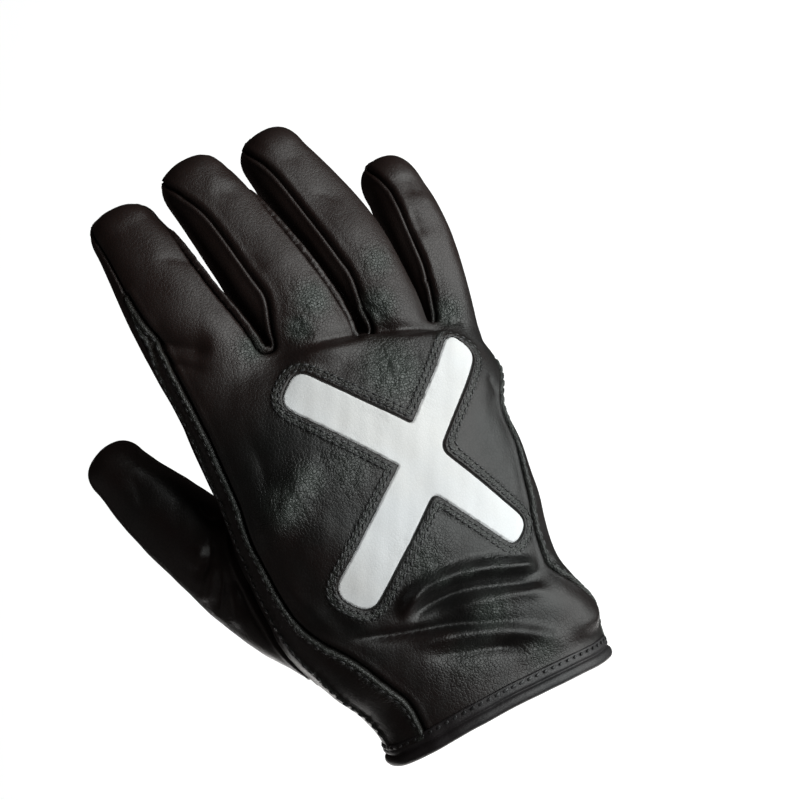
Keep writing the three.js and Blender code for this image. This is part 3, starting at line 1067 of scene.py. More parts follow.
BACK_FOLDS = (
    (RIDGE, 4.2, 1.8, 0.35, (262, 562), (272, 536), (289, 503), (305, 470), (312, 452)),
    (PUFF, 9.0, 1.0, 0.3, (300, 520), (320, 560)),
    (GROOVE, 4.0, 0.8, 0.4, (245, 430), (262, 470), (268, 510)),
    (GROOVE, 1.6, 0.8, 0.4, (214, 498), (232, 508), (246, 523)),
    (RIDGE, 3.0, 0.8, 0.3, (280, 578), (300, 600), (322, 620), (345, 632)),
    (PUFF, 8.0, 0.8, 0.3, (480, 400), (500, 440)),
    (GROOVE, 3.0, 0.9, 0.3, (488, 372), (492, 384), (498, 396)),
    (PUFF, 9.0, 0.7, 0.3, (370, 380), (385, 385)),
    (GROOVE, 3.0, 1.2, 0.4, (560, 548), (552, 560), (540, 566)),
    (PUFF, 6.0, 1.4, 0.25, (560, 585), (580, 600), (590, 625)),
)
THUMB_FOLDS = (
    (RIDGE, 2.4, 1.3, 0.35, (205, 545), (198, 560), (190, 572)),
    (GROOVE, 2.4, 1.6, 0.35, (212, 530), (208, 560), (196, 585)),
    (RIDGE, 2.6, 1.4, 0.35, (214, 560), (210, 585), (206, 605)),
    (GROOVE, 2.4, 1.5, 0.35, (222, 560), (220, 590), (218, 618)),
    (RIDGE, 2.6, 1.2, 0.35, (234, 580), (235, 605), (240, 632)),
    (GROOVE, 2.0, 1.2, 0.35, (199, 500), (208, 512), (220, 518)),
    (GROOVE, 1.1, 0.6, 0.2, (236, 578), (250, 612), (274, 650)),
    (GROOVE, 1.0, 0.5, 0.2, (244, 576), (259, 610), (281, 644)),
    (GROOVE, 3.5, 0.8, 0.4, (128, 470), (138, 492), (142, 515)),
    (RIDGE, 4.0, 0.7, 0.4, (120, 455), (150, 478), (180, 505)),
)
PALM_FOLDS = (
    (GROOVE, 2.2, 1.6, 0.25, (-44, 96), (-30, 84), (-16, 66), (-10, 46), (-10, 32)),
    (RIDGE, 3.2, 0.9, 0.3, (-38, 90), (-25, 77), (-14, 58), (-12, 42)),
    (GROOVE, 2.2, 1.4, 0.25, (-46, 102), (-26, 96), (-2, 90), (22, 76), (36, 66)),
    (GROOVE, 2.2, 1.4, 0.25, (40, 96), (22, 104), (0, 110), (-14, 120)),
    (GROOVE, 1.8, 1.1, 0.3, (-30, 24), (-8, 18), (18, 20), (36, 27)),
    (RIDGE, 3.4, 1.0, 0.3, (-34, 30), (-10, 24), (16, 26), (34, 34)),
    (GROOVE, 2.2, 1.2, 0.3, (-28, 38), (-6, 32), (20, 33), (36, 42)),
    (PUFF, 12.0, 1.8, 0.1, (-28, 62), (-22, 48)),
    (PUFF, 12.0, 1.4, 0.1, (26, 62), (27, 48)),
    (GROOVE, 1.8, 1.1, 0.3, (-56, 140), (-42, 137), (-28, 140)),
    (GROOVE, 1.8, 1.2, 0.3, (-60, 163), (-46, 160), (-33, 163)),
    (GROOVE, 1.6, 0.8, 0.3, (-58, 182), (-48, 180), (-37, 182)),
    (GROOVE, 1.8, 1.1, 0.3, (-24, 143), (-10, 140), (3, 142)),
    (GROOVE, 1.8, 1.2, 0.3, (-28, 168), (-15, 165), (-2, 167)),
    (GROOVE, 1.6, 0.8, 0.3, (-31, 188), (-20, 186), (-9, 188)),
    (GROOVE, 1.8, 1.1, 0.3, (6, 140), (17, 137), (29, 140)),
    (GROOVE, 1.8, 1.2, 0.3, (2, 165), (14, 162), (27, 165)),
    (GROOVE, 1.6, 0.8, 0.3, (-1, 186), (9, 184), (20, 186)),
    (GROOVE, 1.8, 1.0, 0.3, (28, 130), (37, 127), (47, 130)),
    (GROOVE, 1.8, 1.1, 0.3, (32, 150), (41, 147), (52, 150)),
    (GROOVE, 1.8, 1.2, 0.3, (-76, 92), (-64, 84), (-52, 80)),
    (GROOVE, 1.6, 0.9, 0.3, (-85, 112), (-74, 106), (-62, 104)),
    (RIDGE, 2.6, 1.1, 0.3, (-54, 60), (-44, 52), (-36, 40), (-32, 28)),
    (GROOVE, 2.2, 1.3, 0.3, (-50, 66), (-38, 56), (-30, 44), (-27, 30)),
)
PHOTO_FOLDS = WRIST_FOLDS + KNUCKLE_FOLDS + FINGER_FOLDS + BACK_FOLDS + THUMB_FOLDS
FOLDS = [
    Fold(seen, shape, size, height, fade, tuple(line))
    for seen, rows in ((Seen.PHOTO, PHOTO_FOLDS), (Seen.UNDER, PALM_FOLDS))
    for shape, size, height, fade, *line in rows
]


@dataclass(frozen=True)
class Patch:
    """A patch of worn, crinkled leather about a pixel of the photograph, which also gets the painted sheen
    colour of crinkled leather. radius is in millimetres.
    """

    x: float
    y: float
    radius: float
    strength: float


PATCHES = (
    Patch(312, 300, 7.5, 0.9),
    Patch(300, 328, 5.0, 1.0),
    Patch(376, 262, 7.0, 0.7),
    Patch(378, 305, 6.5, 1.0),
    Patch(250, 350, 6.0, 0.8),
    Patch(392, 374, 12.0, 1.0),
    Patch(448, 312, 6.0, 0.9),
    Patch(350, 470, 10.0, 0.5),
    Patch(286, 505, 8.0, 0.9),
    Patch(310, 480, 7.0, 0.8),
    Patch(490, 612, 8.0, 0.8),
    Patch(545, 655, 8.0, 0.6),
    Patch(470, 660, 12.0, 0.4),
    Patch(425, 560, 9.0, 0.6),
    # These patches along the crests of the wrist folds brighten the folds' lit lines with painted sheen.
    Patch(438, 580, 4.0, 0.5),
    Patch(462, 571, 4.0, 0.5),
    Patch(492, 567, 4.5, 0.45),
    Patch(524, 566, 4.0, 0.35),
    Patch(500, 592, 5.0, 0.4),
    Patch(485, 636, 5.0, 0.4),
)


def neighbour_means(ends: np.ndarray, values: np.ndarray) -> np.ndarray:
    """The mean of each vertex's neighbours.

    Args:
        ends: the two vertices of each edge.
        values: one row a vertex.

    Returns:
        One row a vertex.
    """
    count = len(values)
    pairs = np.concatenate([ends, ends[:, ::-1]])
    degree = np.maximum(np.bincount(pairs[:, 0], minlength=count), 1)
    around = values[pairs[:, 1]]
    sums = [np.bincount(pairs[:, 0], weights=column, minlength=count) for column in around.T]
    return np.stack(sums, axis=1) / degree[:, None]


@dataclass
class Skin:
    """The glove's outer surface before it is sewn: one fine closed-fingered sleeve, open at the wrist.

    A pair of numbers is where an effect starts and where it is full, and snap is the share of an edge within
    which a cut moves its end instead of splitting it.
    """

    palm: Palm
    digits: dict[str, Digit]
    voxel: float = 0.8 * MM
    wrist_cut: float = 3.8 * MM
    snap: float = 0.2
    roots_start: tuple[float, float] = (92 * MM, 112 * MM)
    roots_end: tuple[float, float] = (138 * MM, 156 * MM)
    roots_facing: tuple[float, float] = (0.25, 0.6)
    web: tuple[float, float] = (2 * MM, 12 * MM)
    web_share: float = 0.8
    smoothing: float = 0.5
    even_rounds: int = 4
    junction_rounds: int = 70
    press_start: tuple[float, float] = (2 * MM, 9 * MM)
    press_end: tuple[float, float] = (157 * MM, 168 * MM)
    press_facing: tuple[float, float] = (0.15, 0.75)
    press_across: tuple[float, float] = (0.1, 0.5)
    press_close: tuple[float, float] = (1.5 * MM, 3.5 * MM)
    presses: tuple[tuple[str, float, float], ...] = (("index", 1.0, 0.9 * MM), ("middle", -1.0, 0.65 * MM))

    def __post_init__(self) -> None:
        """Builds the smooth skin."""
        self.bm = self.joined_form()
        self.soften()
        self.press_fingers()
        middle = Vector((0, self.wrist_cut, 0))
        geometry = [*self.bm.verts, *self.bm.edges, *self.bm.faces]
        bmesh.ops.bisect_plane(self.bm, geom=geometry, plane_co=middle, plane_no=(0, 1, 0), clear_inner=True)

    def joined_form(self) -> bmesh.types.BMesh:
        """Joins the hand, the fingers and the thumb.

        Returns:
            One even mesh.
        """
        rough = bmesh.new()
        for part in (self.palm, *self.digits.values()):
            add_tube(rough, part.rings())
        bmesh.ops.recalc_face_normals(rough, faces=rough.faces)
        mesh = bpy.data.meshes.new("form")
        rough.to_mesh(mesh)
        rough.free()
        form = bpy.data.objects.new("form", mesh)
        bpy.context.scene.collection.objects.link(form)
        remesh = form.modifiers.new("even", "REMESH")
        remesh.mode = "VOXEL"
        remesh.voxel_size = self.voxel
        even = bpy.data.meshes.new_from_object(form.evaluated_get(bpy.context.evaluated_depsgraph_get()))
        bpy.data.objects.remove(form)
        bpy.data.meshes.remove(mesh)
        bm = bmesh.new()
        bm.from_mesh(even)
        bpy.data.meshes.remove(even)
        return bm

    def points(self) -> np.ndarray:
        """The vertices' places."""
        return np.array([vert.co for vert in self.bm.verts])

    def normals(self) -> np.ndarray:
        """The vertices' normals."""
        self.bm.normal_update()
        return np.array([vert.normal for vert in self.bm.verts])

    def ends(self) -> np.ndarray:
        """The two vertices of each edge."""
        self.bm.verts.index_update()
        return np.array([(edge.verts[0].index, edge.verts[1].index) for edge in self.bm.edges])

    def move(self, points: np.ndarray) -> None:
        """Puts the vertices at new places."""
        for vert, point in zip(self.bm.verts, points):
            vert.co = point

    def soften(self) -> None:
        """Smooths the even mesh, most where the fingers and the thumb grow out of the hand."""
        points, normals, ends = self.points(), self.normals(), self.ends()
        y = points[:, 1]
        roots = smoothstep(y, *self.roots_start) * (1 - smoothstep(y, *self.roots_end))
        roots *= smoothstep(np.abs(normals[:, 2]), *self.roots_facing)
        thumb = self.digits["thumb"].local(points)
        junction = np.maximum(np.abs(thumb.outside), np.abs(self.palm.depth(points)))
        web = 1 - smoothstep(junction, *self.web)
        weight = np.clip(np.maximum(roots, web * self.web_share), 0.0, 1.0)[:, None]
        for turn in range(self.even_rounds + self.junction_rounds):
            pull = self.smoothing if turn < self.even_rounds else self.smoothing * weight
            points = points + pull * (neighbour_means(ends, points) - points)
        self.move(points)

    def press_fingers(self) -> None:
        """Presses the index and the middle finger together between their crotch and their middle joints."""
        points, normals = self.points(), self.normals()
        start = CROTCHES["index", "middle"] * MM
        along = smoothstep(points[:, 1], start + self.press_start[0], start + self.press_start[1])
        along *= 1 - smoothstep(points[:, 1], *self.press_end)
        for name, way, amount in self.presses:
            local = self.digits[name].local(points)
            facing = smoothstep(way * normals[:, 0], *self.press_facing)
            facing *= smoothstep(way * local.across, *self.press_across)
            close = 1 - smoothstep(np.abs(local.outside), *self.press_close)
            points[:, 0] += way * amount * along * facing * close
        self.move(points)

    def cut(self, values: Callable[[np.ndarray], np.ndarray], level: float = 0.0) -> None:
        """Splits faces along the line where a field passes a level.

        Args:
            values: the field, from points to numbers.
            level: the value along the line.
        """
        points, ends = self.points(), self.ends()
        heights = values(points) - level
        crossing = np.flatnonzero(heights[ends[:, 0]] * heights[ends[:, 1]] < 0)
        self.bm.verts.ensure_lookup_table()
        self.bm.edges.ensure_lookup_table()
        verts, edges = self.bm.verts, self.bm.edges
        on_line = set()
        for index in crossing:
            first, second = ends[index]
            if heights[first] * heights[second] >= 0:
                continue
            share = heights[first] / (heights[first] - heights[second])
            near = first if share < self.snap else second if share > 1 - self.snap else None
            if near is not None and not verts[near].is_boundary:
                verts[near].co = points[first] + (points[second] - points[first]) * share
                heights[near] = 0.0
                on_line.add(near)
        split = [index for index in crossing if heights[ends[index][0]] * heights[ends[index][1]] < 0]
        chosen = [(edges[index], verts[ends[index][0]], index) for index in split]
        made = [verts[index] for index in on_line]
        for edge, vert, index in chosen:
            first, second = ends[index]
            share = heights[first] / (heights[first] - heights[second])
            made.append(bmesh.utils.edge_split(edge, vert, float(share))[1])
        bmesh.ops.connect_verts(self.bm, verts=made)

    def tree(self) -> BVHTree:
        """A search tree of the skin."""
        return BVHTree.FromBMesh(self.bm)


@dataclass(frozen=True)
class Pattern:
    """How the skin is divided into sewn pieces.

    Past switch along the hand the back's edge follows the fingers. On the index finger's outer side it rises
    to the shares opening and opening_tip of the half thickness, and closes at the tip.
    """

    palm: Palm
    digits: dict[str, Digit]
    saltire: Saltire
    switch: float = 125 * MM
    thumb_start: float = 44 * MM
    thumb_reach: float = 14 * MM
    crossing: tuple[int, int] = (-20, 20)
    seam_start: float = 120.0
    opening: float = 0.5
    opening_rise: float = 0.12
    opening_at: tuple[float, float] = (158 * MM, 176 * MM)
    opening_side: tuple[float, float] = (-0.3, 0.6)
    closing: int = 14

    def thumb(self, points: np.ndarray) -> np.ndarray:
        """Above 0 on the thumb: where the thumb's outline is nearer than the hand's.

        Args:
            points: places in metres.

        Returns:
            The field at each point.
        """
        local = self.digits["thumb"].local(points)
        nearer = self.palm.depth(points) - local.outside
        beyond = np.where(local.outside > self.thumb_reach, -self.thumb_reach, nearer)
        return np.minimum(beyond, local.at - self.thumb_start)

    def back(self, points: np.ndarray) -> np.ndarray:
        """Above 0 on the back of the hand and of the fingers.

        Args:
            points: places in metres.

        Returns:
            The field at each point.
        """
        at = points / MM
        index_side, little_side = (sum(band.edges(at[:, 1])[1:]) / 2 for band in BANDS.values())
        share = smoothstep(at[:, 0], *self.crossing)
        on_hand = (at[:, 2] - index_side * (1 - share) - little_side * share) * MM
        on_finger = np.zeros(len(points))
        nearest = np.full(len(points), np.inf)
        for name in FINGERS:
            digit = self.digits[name]
            local = digit.local(points)
            height = local.height * local.thick
            outside = np.abs(local.outside)
            if name == "index":
                reached = reached_share(digit, local, self.seam_start, 1.0)
                opening = self.opening + self.opening_rise * smoothstep(local.at, *self.opening_at)
                opening = opening * (1 - np.clip(reached, 0, 1) ** self.closing)
                height = height - opening * local.thick * smoothstep(-local.across, *self.opening_side)
            nearer = outside < nearest
            nearest[nearer] = outside[nearer]
            on_finger[nearer] = height[nearer]
        return np.where(points[:, 1] > self.switch, on_finger, on_hand)

    def fields(self) -> list[tuple[Piece, Field]]:
        """Lists the cuts.

        Returns:
            The piece on the inside of each cut and its field, from the one that wins to the one that yields.
        """
        rows: list[tuple[Piece, Field]] = [(Piece.THUMB, self.thumb)]
        for piece, strip in STRIPS.items():
            rows.append((piece, lambda points, strip=strip: strip.inside(self.digits, points)))
        rows += [(piece, band.inside) for piece, band in BANDS.items()]
        rows.append((Piece.INLAY, lambda points: -self.saltire.distance(points)))
        rows.append((Piece.BACK, self.back))
        return rows

    def labels(self, points: np.ndarray) -> np.ndarray:
        """Finds the piece that each point belongs to.

        Args:
            points: places in metres.

        Returns:
            Its number in PIECES for each point.
        """
        found = np.full(len(points), PIECES.index(Piece.PALM))
        for piece, values in reversed(self.fields()):
            found = np.where(values(points) > 0, PIECES.index(piece), found)
        return found


@dataclass(frozen=True)
class SeamEdge:
    """How a piece's edge is shaped along a seam, in millimetres.

    drop is how deep the edge lies at the seam and roll how far in that fades. lip, lip_at and lip_width are
    the height, place and width of the raised turned edge beside it, and pull is how far the edge keeps from
    the seam.
    """

    drop: float
    roll: float
    lip: float = 0.0
    lip_at: float = 0.6
    lip_width: float = 0.4
    pull: float = 0.12

    def lift(self, distance: np.ndarray) -> np.ndarray:
        """The edge's height.

        Args:
            distance: distances from the seam, in metres.

        Returns:
            The heights, in metres.
        """
        d = distance / MM
        raised = self.lip * np.exp(-(((d - self.lip_at) / self.lip_width) ** 2))
        return (raised - self.drop * np.exp(-((d / self.roll) ** 2))) * MM


PLAIN_EDGE = SeamEdge(0.6, 0.6)


def seam_edge(own: Piece, other: Piece | None) -> SeamEdge:
    """The shape of a piece's edge beside another piece.

    Args:
        own: the piece whose edge it is.
        other: the piece across the seam, or None at the hem.

    Returns:
        The edge's shape.
    """
    back = own is Piece.BACK
    if own in STRIPS and other is Piece.BACK:
        return SeamEdge(0.35, 0.22, 1.2, 0.95, 0.8)
    if own in STRIPS:
        return SeamEdge(0.5, 0.3, 0.4, 0.55, 0.4)
    if other in STRIPS:
        return SeamEdge(1.2, 1.1, 0.3, 2.3, 1.2) if back else SeamEdge(0.9, 0.8, 0.15, 2.0, 0.9)
    if own in BANDS:
        return SeamEdge(0.5, 0.3, 0.75, 1.0, 0.85)
    if other in BANDS:
        return SeamEdge(1.2, 1.0, 0.3, 2.2, 1.0) if back else SeamEdge(0.6, 0.5, 0.2, 1.9, 0.9)
    if other is Piece.INLAY:
        return SeamEdge(0.5, 0.32, 0.16, 0.75, 0.5, pull=0.1)
    if Piece.THUMB in (own, other):
        return SeamEdge(1.1, 0.9, 0.3, 1.9, 0.8)
    if other is Piece.BACK:
        return SeamEdge(0.35, 0.25, 0.5, 0.55, 0.4)
    return SeamEdge(0.9, 0.8) if back else PLAIN_EDGE


@dataclass
class Seams:
    """The seams of the cut skin, and how far each vertex lies from them."""

    skin: Skin
    pattern: Pattern
    offsets: tuple[float, float, float] = (0.35 * MM, 0.8 * MM, 1.35 * MM)
    reach: float = 4.5 * MM

    def __post_init__(self) -> None:
        """Cuts the skin, which is changed, along its pattern."""
        for _, values in self.pattern.fields():
            self.skin.cut(values)
        self.layer = self.skin.bm.faces.layers.int.new("piece")
        self.label_faces()
        self.drop_islands()
        self.find_seams()
        for offset in self.offsets:
            self.skin.cut(self.distances, offset)
        self.find_seams()

    def label_faces(self) -> None:
        """Writes each face's piece into its layer."""
        faces = list(self.skin.bm.faces)
        middles = np.array([face.calc_center_median() for face in faces])
        for face, label in zip(faces, self.pattern.labels(middles)):
            face[self.layer] = int(label)

    def drop_islands(self) -> None:
        """Gives stray patches to the piece around them."""
        bm, layer = self.skin.bm, self.layer
        seen: set[bmesh.types.BMFace] = set()
        groups: dict[int, list[list[bmesh.types.BMFace]]] = {}
        for face in bm.faces:
            if face in seen:
                continue
            label, group, front = face[layer], [], [face]
            seen.add(face)
            while front:
                current = front.pop()
                group.append(current)
                for edge in current.edges:
                    for other in edge.link_faces:
                        if other not in seen and other[layer] == label:
                            seen.add(other)
                            front.append(other)
            groups.setdefault(label, []).append(group)
        for label, found in groups.items():
            found.sort(key=len)
            for group in found[:-1]:
                around = [other[layer] for face in group for edge in face.edges for other in edge.link_faces]
                around = [number for number in around if number != label]
                if around:
                    new = max(set(around), key=around.count)
                    for face in group:
                        face[layer] = new
            if len(found) > 1:
                name = PIECES[label].value
                log.info("%s: %d stray patches, largest %d faces", name, len(found) - 1, len(found[-2]))

    def find_seams(self) -> None:
        """Finds the edges between two pieces and at the wrist."""
        lines, self.pairs = [], []
        for edge in self.skin.bm.edges:
            labels = {face[self.layer] for face in edge.link_faces}
            if len(labels) == 2 or len(edge.link_faces) == 1:
                lines.append((edge.verts[0].co.copy(), edge.verts[1].co.copy()))
                self.pairs.append(tuple(sorted(labels)))
        places = [place for line in lines for place in line]
        polygons = [(2 * i, 2 * i + 1, 2 * i + 1) for i in range(len(lines))]
        self.seam_tree = BVHTree.FromPolygons(places, polygons)

    def distances(self, points: np.ndarray) -> np.ndarray:
        """The distance from the nearest seam, or the reach where none is near."""
        return self.nearest(points)[0]

    def nearest(self, points: np.ndarray) -> tuple[np.ndarray, np.ndarray]:
        """The nearest seam of each point.

        Args:
            points: places in metres.

        Returns:
            Its distance and its number, which is -1 where none is near.
        """
        distance = np.full(len(points), self.reach)
        number = np.full(len(points), -1)
        for i, point in enumerate(points):
            hit = self.seam_tree.find_nearest(Vector(point), self.reach)
            if hit[0] is not None:
                distance[i] = hit[3]
                number[i] = hit[2]
        return distance, number


@dataclass
class Leatherwork:
    """Turns the cut skin into the glove's leather pieces.

    A pair of numbers is where an effect starts and where it is full. Waves are rows of a length in metres, a
    seed and a height in millimetres, or a count of waves.
    """

    seams: Seams
    view: PhotoView
    hem: Hem
    underlap: float = 3.2 * MM
    inlay_sunk: float = 0.15
    inlay_below: float = 1.0
    inlay_edge: tuple[float, float] = (-0.4 * MM, -0.02 * MM)
    inlay_wall: float = 0.9 * MM
    skived_wall: float = 0.75 * MM
    skiving: float = 2 * MM
    free_of_hem: tuple[float, float] = (7 * MM, 16 * MM)
    hem_pull: tuple[float, float] = (4 * MM, 26 * MM)
    fingers: tuple[float, float] = (125 * MM, 150 * MM)
    finger_calm: float = 0.6
    swells: tuple[tuple[float, int, float], ...] = ((17 * MM, 3, 0.13), (7 * MM, 4, 0.07))
    crinkle_waves: tuple[tuple[float, int, int], ...] = ((2.6 * MM, 11, 14), (4.2 * MM, 12, 12))
    crinkle_share: float = 0.6
    crinkle_height: float = 0.26
    quilt_height: float = 0.28 * MM
    quilt_width: float = 0.75 * MM
    patch_fall: float = 1.2
    # The rims beside the bands and the cross are crinkled, and their crinkling also gets painted sheen.
    band_rim: float = 1.0 * MM
    band_crinkle_and_sheen: float = 0.6
    cross_rim: float = 2.45 * MM
    cross_crinkle_and_sheen: float = 0.45
    rim_width: float = 1.4 * MM
    strip_low: float = 0.35
    strip_facing: tuple[float, float] = (-0.5, 0.3)
    beside_strip: float = 0.75
    beside_facing: tuple[float, float] = (0.7, 0.97)

    def __post_init__(self) -> None:
        """Works the folds into the skin."""
        seams, view = self.seams, self.view
        self.bm = seams.skin.bm
        self.saltire = seams.pattern.saltire
        self.bm.verts.index_update()
        self.source = self.bm.verts.layers.int.new("source")
        for vert in self.bm.verts:
            vert[self.source] = vert.index
        self.rest = seams.skin.points()
        normals = seams.skin.normals()
        tree = seams.skin.tree()
        y = self.rest[:, 1]
        free = smoothstep(y, *self.free_of_hem)
        lifted = np.zeros(len(self.rest))
        for fold in FOLDS:
            lifted += fold.lift(self.rest, normals, tree, view)
        on_hand = 1 - self.finger_calm * smoothstep(y, *self.fingers)
        swell = sum(waves(self.rest, length, seed) * height for length, seed, height in self.swells)
        lifted += on_hand * swell * MM
        self.cross = self.saltire.distance(self.rest)
        self.crinkle_and_sheen = self.crinkled(tree, view)
        crinkles = sum(waves(self.rest, *row) * self.crinkle_share for row in self.crinkle_waves)
        lifted += self.crinkle_and_sheen * crinkles * self.crinkle_height * MM
        lifted += self.quilt_height * np.exp(-(((self.cross - self.cross_rim) / self.quilt_width) ** 2))
        self.folded = self.rest + normals * (lifted * free)[:, None]
        self.folded[:, 1] += self.hem.raised(self.rest) * (1 - smoothstep(y, *self.hem_pull))
        seams.skin.move(self.folded)
        self.normals = seams.skin.normals()
        self.distance, self.seam = seams.nearest(self.rest)

    def crinkled(self, tree: BVHTree, view: PhotoView) -> np.ndarray:
        """How crinkled the leather is, which also sets how much painted sheen its colour gets.

        Args:
            tree: the smooth skin, to place the patches on.
            view: the photograph's camera.

        Returns:
            A share from 0 to 1 for each vertex.
        """
        found = np.zeros(len(self.rest))
        for patch in PATCHES:
            hit = tree.ray_cast(view.place(), view.ray(patch.x, patch.y))[0]
            if hit is not None:
                away = np.linalg.norm(self.rest - np.array(hit), axis=1) / (patch.radius * MM)
                found = np.maximum(found, patch.strength * np.exp(-(away**2) * self.patch_fall))
        rims = [(band.inside(self.rest) - self.band_rim, self.band_crinkle_and_sheen) for band in BANDS.values()]
        for past, strength in [*rims, (self.cross - self.cross_rim, self.cross_crinkle_and_sheen)]:
            found = np.maximum(found, strength * np.exp(-((past / self.rim_width) ** 2)))
        return found

    def edge_lift(self, own: Piece, chosen: np.ndarray) -> tuple[np.ndarray, np.ndarray]:
        """The seam shape of some vertices of a piece.

        Args:
            own: the piece.
            chosen: the vertices' numbers.

        Returns:
            Their heights and how far they are pulled away from the seam, in metres.
        """
        pairs = np.array([(*pair, pair[0])[:2] for pair in self.seams.pairs] + [(-1, -1)])
        mine = PIECES.index(own)
        ends = pairs[self.seam[chosen]]
        other = np.where(ends[:, 0] == mine, ends[:, 1], ends[:, 0])
        other = np.where((ends == mine).all(axis=1), -1, other)
        heights = np.zeros(len(chosen))
        pulls = np.zeros(len(chosen))
        near = self.seam[chosen] >= 0
        for number in np.unique(other[near]):
            edge = seam_edge(own, PIECES[number] if number >= 0 else None)
            here = near & (other == number)
            heights[here] = edge.lift(self.distance[chosen][here])
            pulls[here] = edge.pull * MM
        sideways = self.normals[chosen][:, 0]
        if own in STRIPS:
            heights *= self.strip_low + (1 - self.strip_low) * smoothstep(sideways, *self.strip_facing)
        if own is Piece.BACK:
            beside = np.isin(other, [PIECES.index(strip) for strip in STRIPS])
            heights *= 1 - self.beside_strip * beside * smoothstep(sideways, *self.beside_facing)
        return heights, pulls

    def piece_mesh(self, piece: Piece) -> tuple[bmesh.types.BMesh, np.ndarray]:
        """Copies one piece's faces out of the skin, with their shaped places.

        Args:
            piece: the piece.

        Returns:
            The copy and the number in the skin of each of its vertices.
        """
        bm = self.bm.copy()
        layer, source = bm.faces.layers.int["piece"], bm.verts.layers.int["source"]
        if piece is Piece.INLAY:
            farthest = [max(self.cross[vert[source]] for vert in face.verts) for face in bm.faces]
            others = [face for face, far in zip(bm.faces, farthest) if far >= self.underlap]
        else:
            mine = PIECES.index(piece)
            others = [face for face in bm.faces if face[layer] != mine]
        bmesh.ops.delete(bm, geom=others, context="FACES")
        bm.verts.index_update()
        return bm, np.array([vert[source] for vert in bm.verts])

    def pulled(self, bm: bmesh.types.BMesh, points: np.ndarray, pulls: np.ndarray) -> np.ndarray:
        """Draws a piece's border away from its seams.

        Args:
            bm: the piece.
            points: its places.
            pulls: how far each vertex would be drawn.

        Returns:
            The new places.
        """
        moved = points.copy()
        for vert in bm.verts:
            if vert.is_boundary:
                around = vert.link_faces
                away = sum((face.calc_center_median() for face in around), Vector()) / len(around) - vert.co
                moved[vert.index] += np.array(away.normalized()) * pulls[vert.index]
        return moved

    def make(self, piece: Piece) -> bpy.types.Object:
        """Makes one piece with its leather wall.

        Args:
            piece: the piece.

        Returns:
            The finished object, without its materials.
        """
        bm, chosen = self.piece_mesh(piece)
        folded, normals = self.folded[chosen], self.normals[chosen]
        if piece is Piece.INLAY:
            cross = self.cross[chosen]
            below = (self.inlay_below - self.inlay_sunk) * smoothstep(cross, *self.inlay_edge)
            outer = folded - normals * ((self.inlay_sunk + below) * MM)[:, None]
            inner = outer - normals * self.inlay_wall
        else:
            heights, pulls = self.edge_lift(piece, chosen)
            outer = self.pulled(bm, folded + normals * heights[:, None], pulls)
            near_cross = 1 - smoothstep(self.cross[chosen], self.underlap, self.underlap + self.skiving)
            wall = LEATHER - (LEATHER - self.skived_wall) * near_cross
            inner = folded - normals * wall[:, None]
        for vert, point in zip(bm.verts, outer):
            vert.co = point
        self.add_wall(bm, inner, chosen)
        return finish_mesh(bm, f"{piece.value}_leather")

    def add_wall(self, bm: bmesh.types.BMesh, inner: np.ndarray, chosen: np.ndarray) -> None:
        """Gives a piece its inner side.

        Args:
            bm: the piece's outer side.
            inner: where each vertex's inner copy goes.
            chosen: the number in the skin of each vertex.
        """
        # This mask crinkles the leather and also tells the finish where to paint its sheen.
        crinkle_and_sheen = bm.verts.layers.float.new("crinkle_and_sheen")
        number = bm.verts.layers.int.new("number")
        for vert, skin_number in zip(bm.verts, chosen):
            vert[crinkle_and_sheen] = float(self.crinkle_and_sheen[skin_number])
            vert[number] = vert.index
        made = bmesh.ops.solidify(bm, geom=list(bm.faces), thickness=LEATHER)["geom"]
        for item in made:
            if isinstance(item, bmesh.types.BMVert):
                item.co = inner[item[number]]
            elif isinstance(item, bmesh.types.BMFace):
                item.material_index = 1
        if bm.calc_volume(signed=True) < 0:
            bmesh.ops.reverse_faces(bm, faces=list(bm.faces))


def finish_mesh(bm: bmesh.types.BMesh, name: str) -> bpy.types.Object:
    """Turns a bmesh into a smooth-shaded object at the origin.

    Args:
        bm: the mesh, which is used up.
        name: the object's name.

    Returns:
        The object, linked to the scene.
    """
    mesh = bpy.data.meshes.new(name)
    bm.to_mesh(mesh)
    bm.free()
    mesh.shade_smooth()
    made = bpy.data.objects.new(name, mesh)
    bpy.context.scene.collection.objects.link(made)
    return made


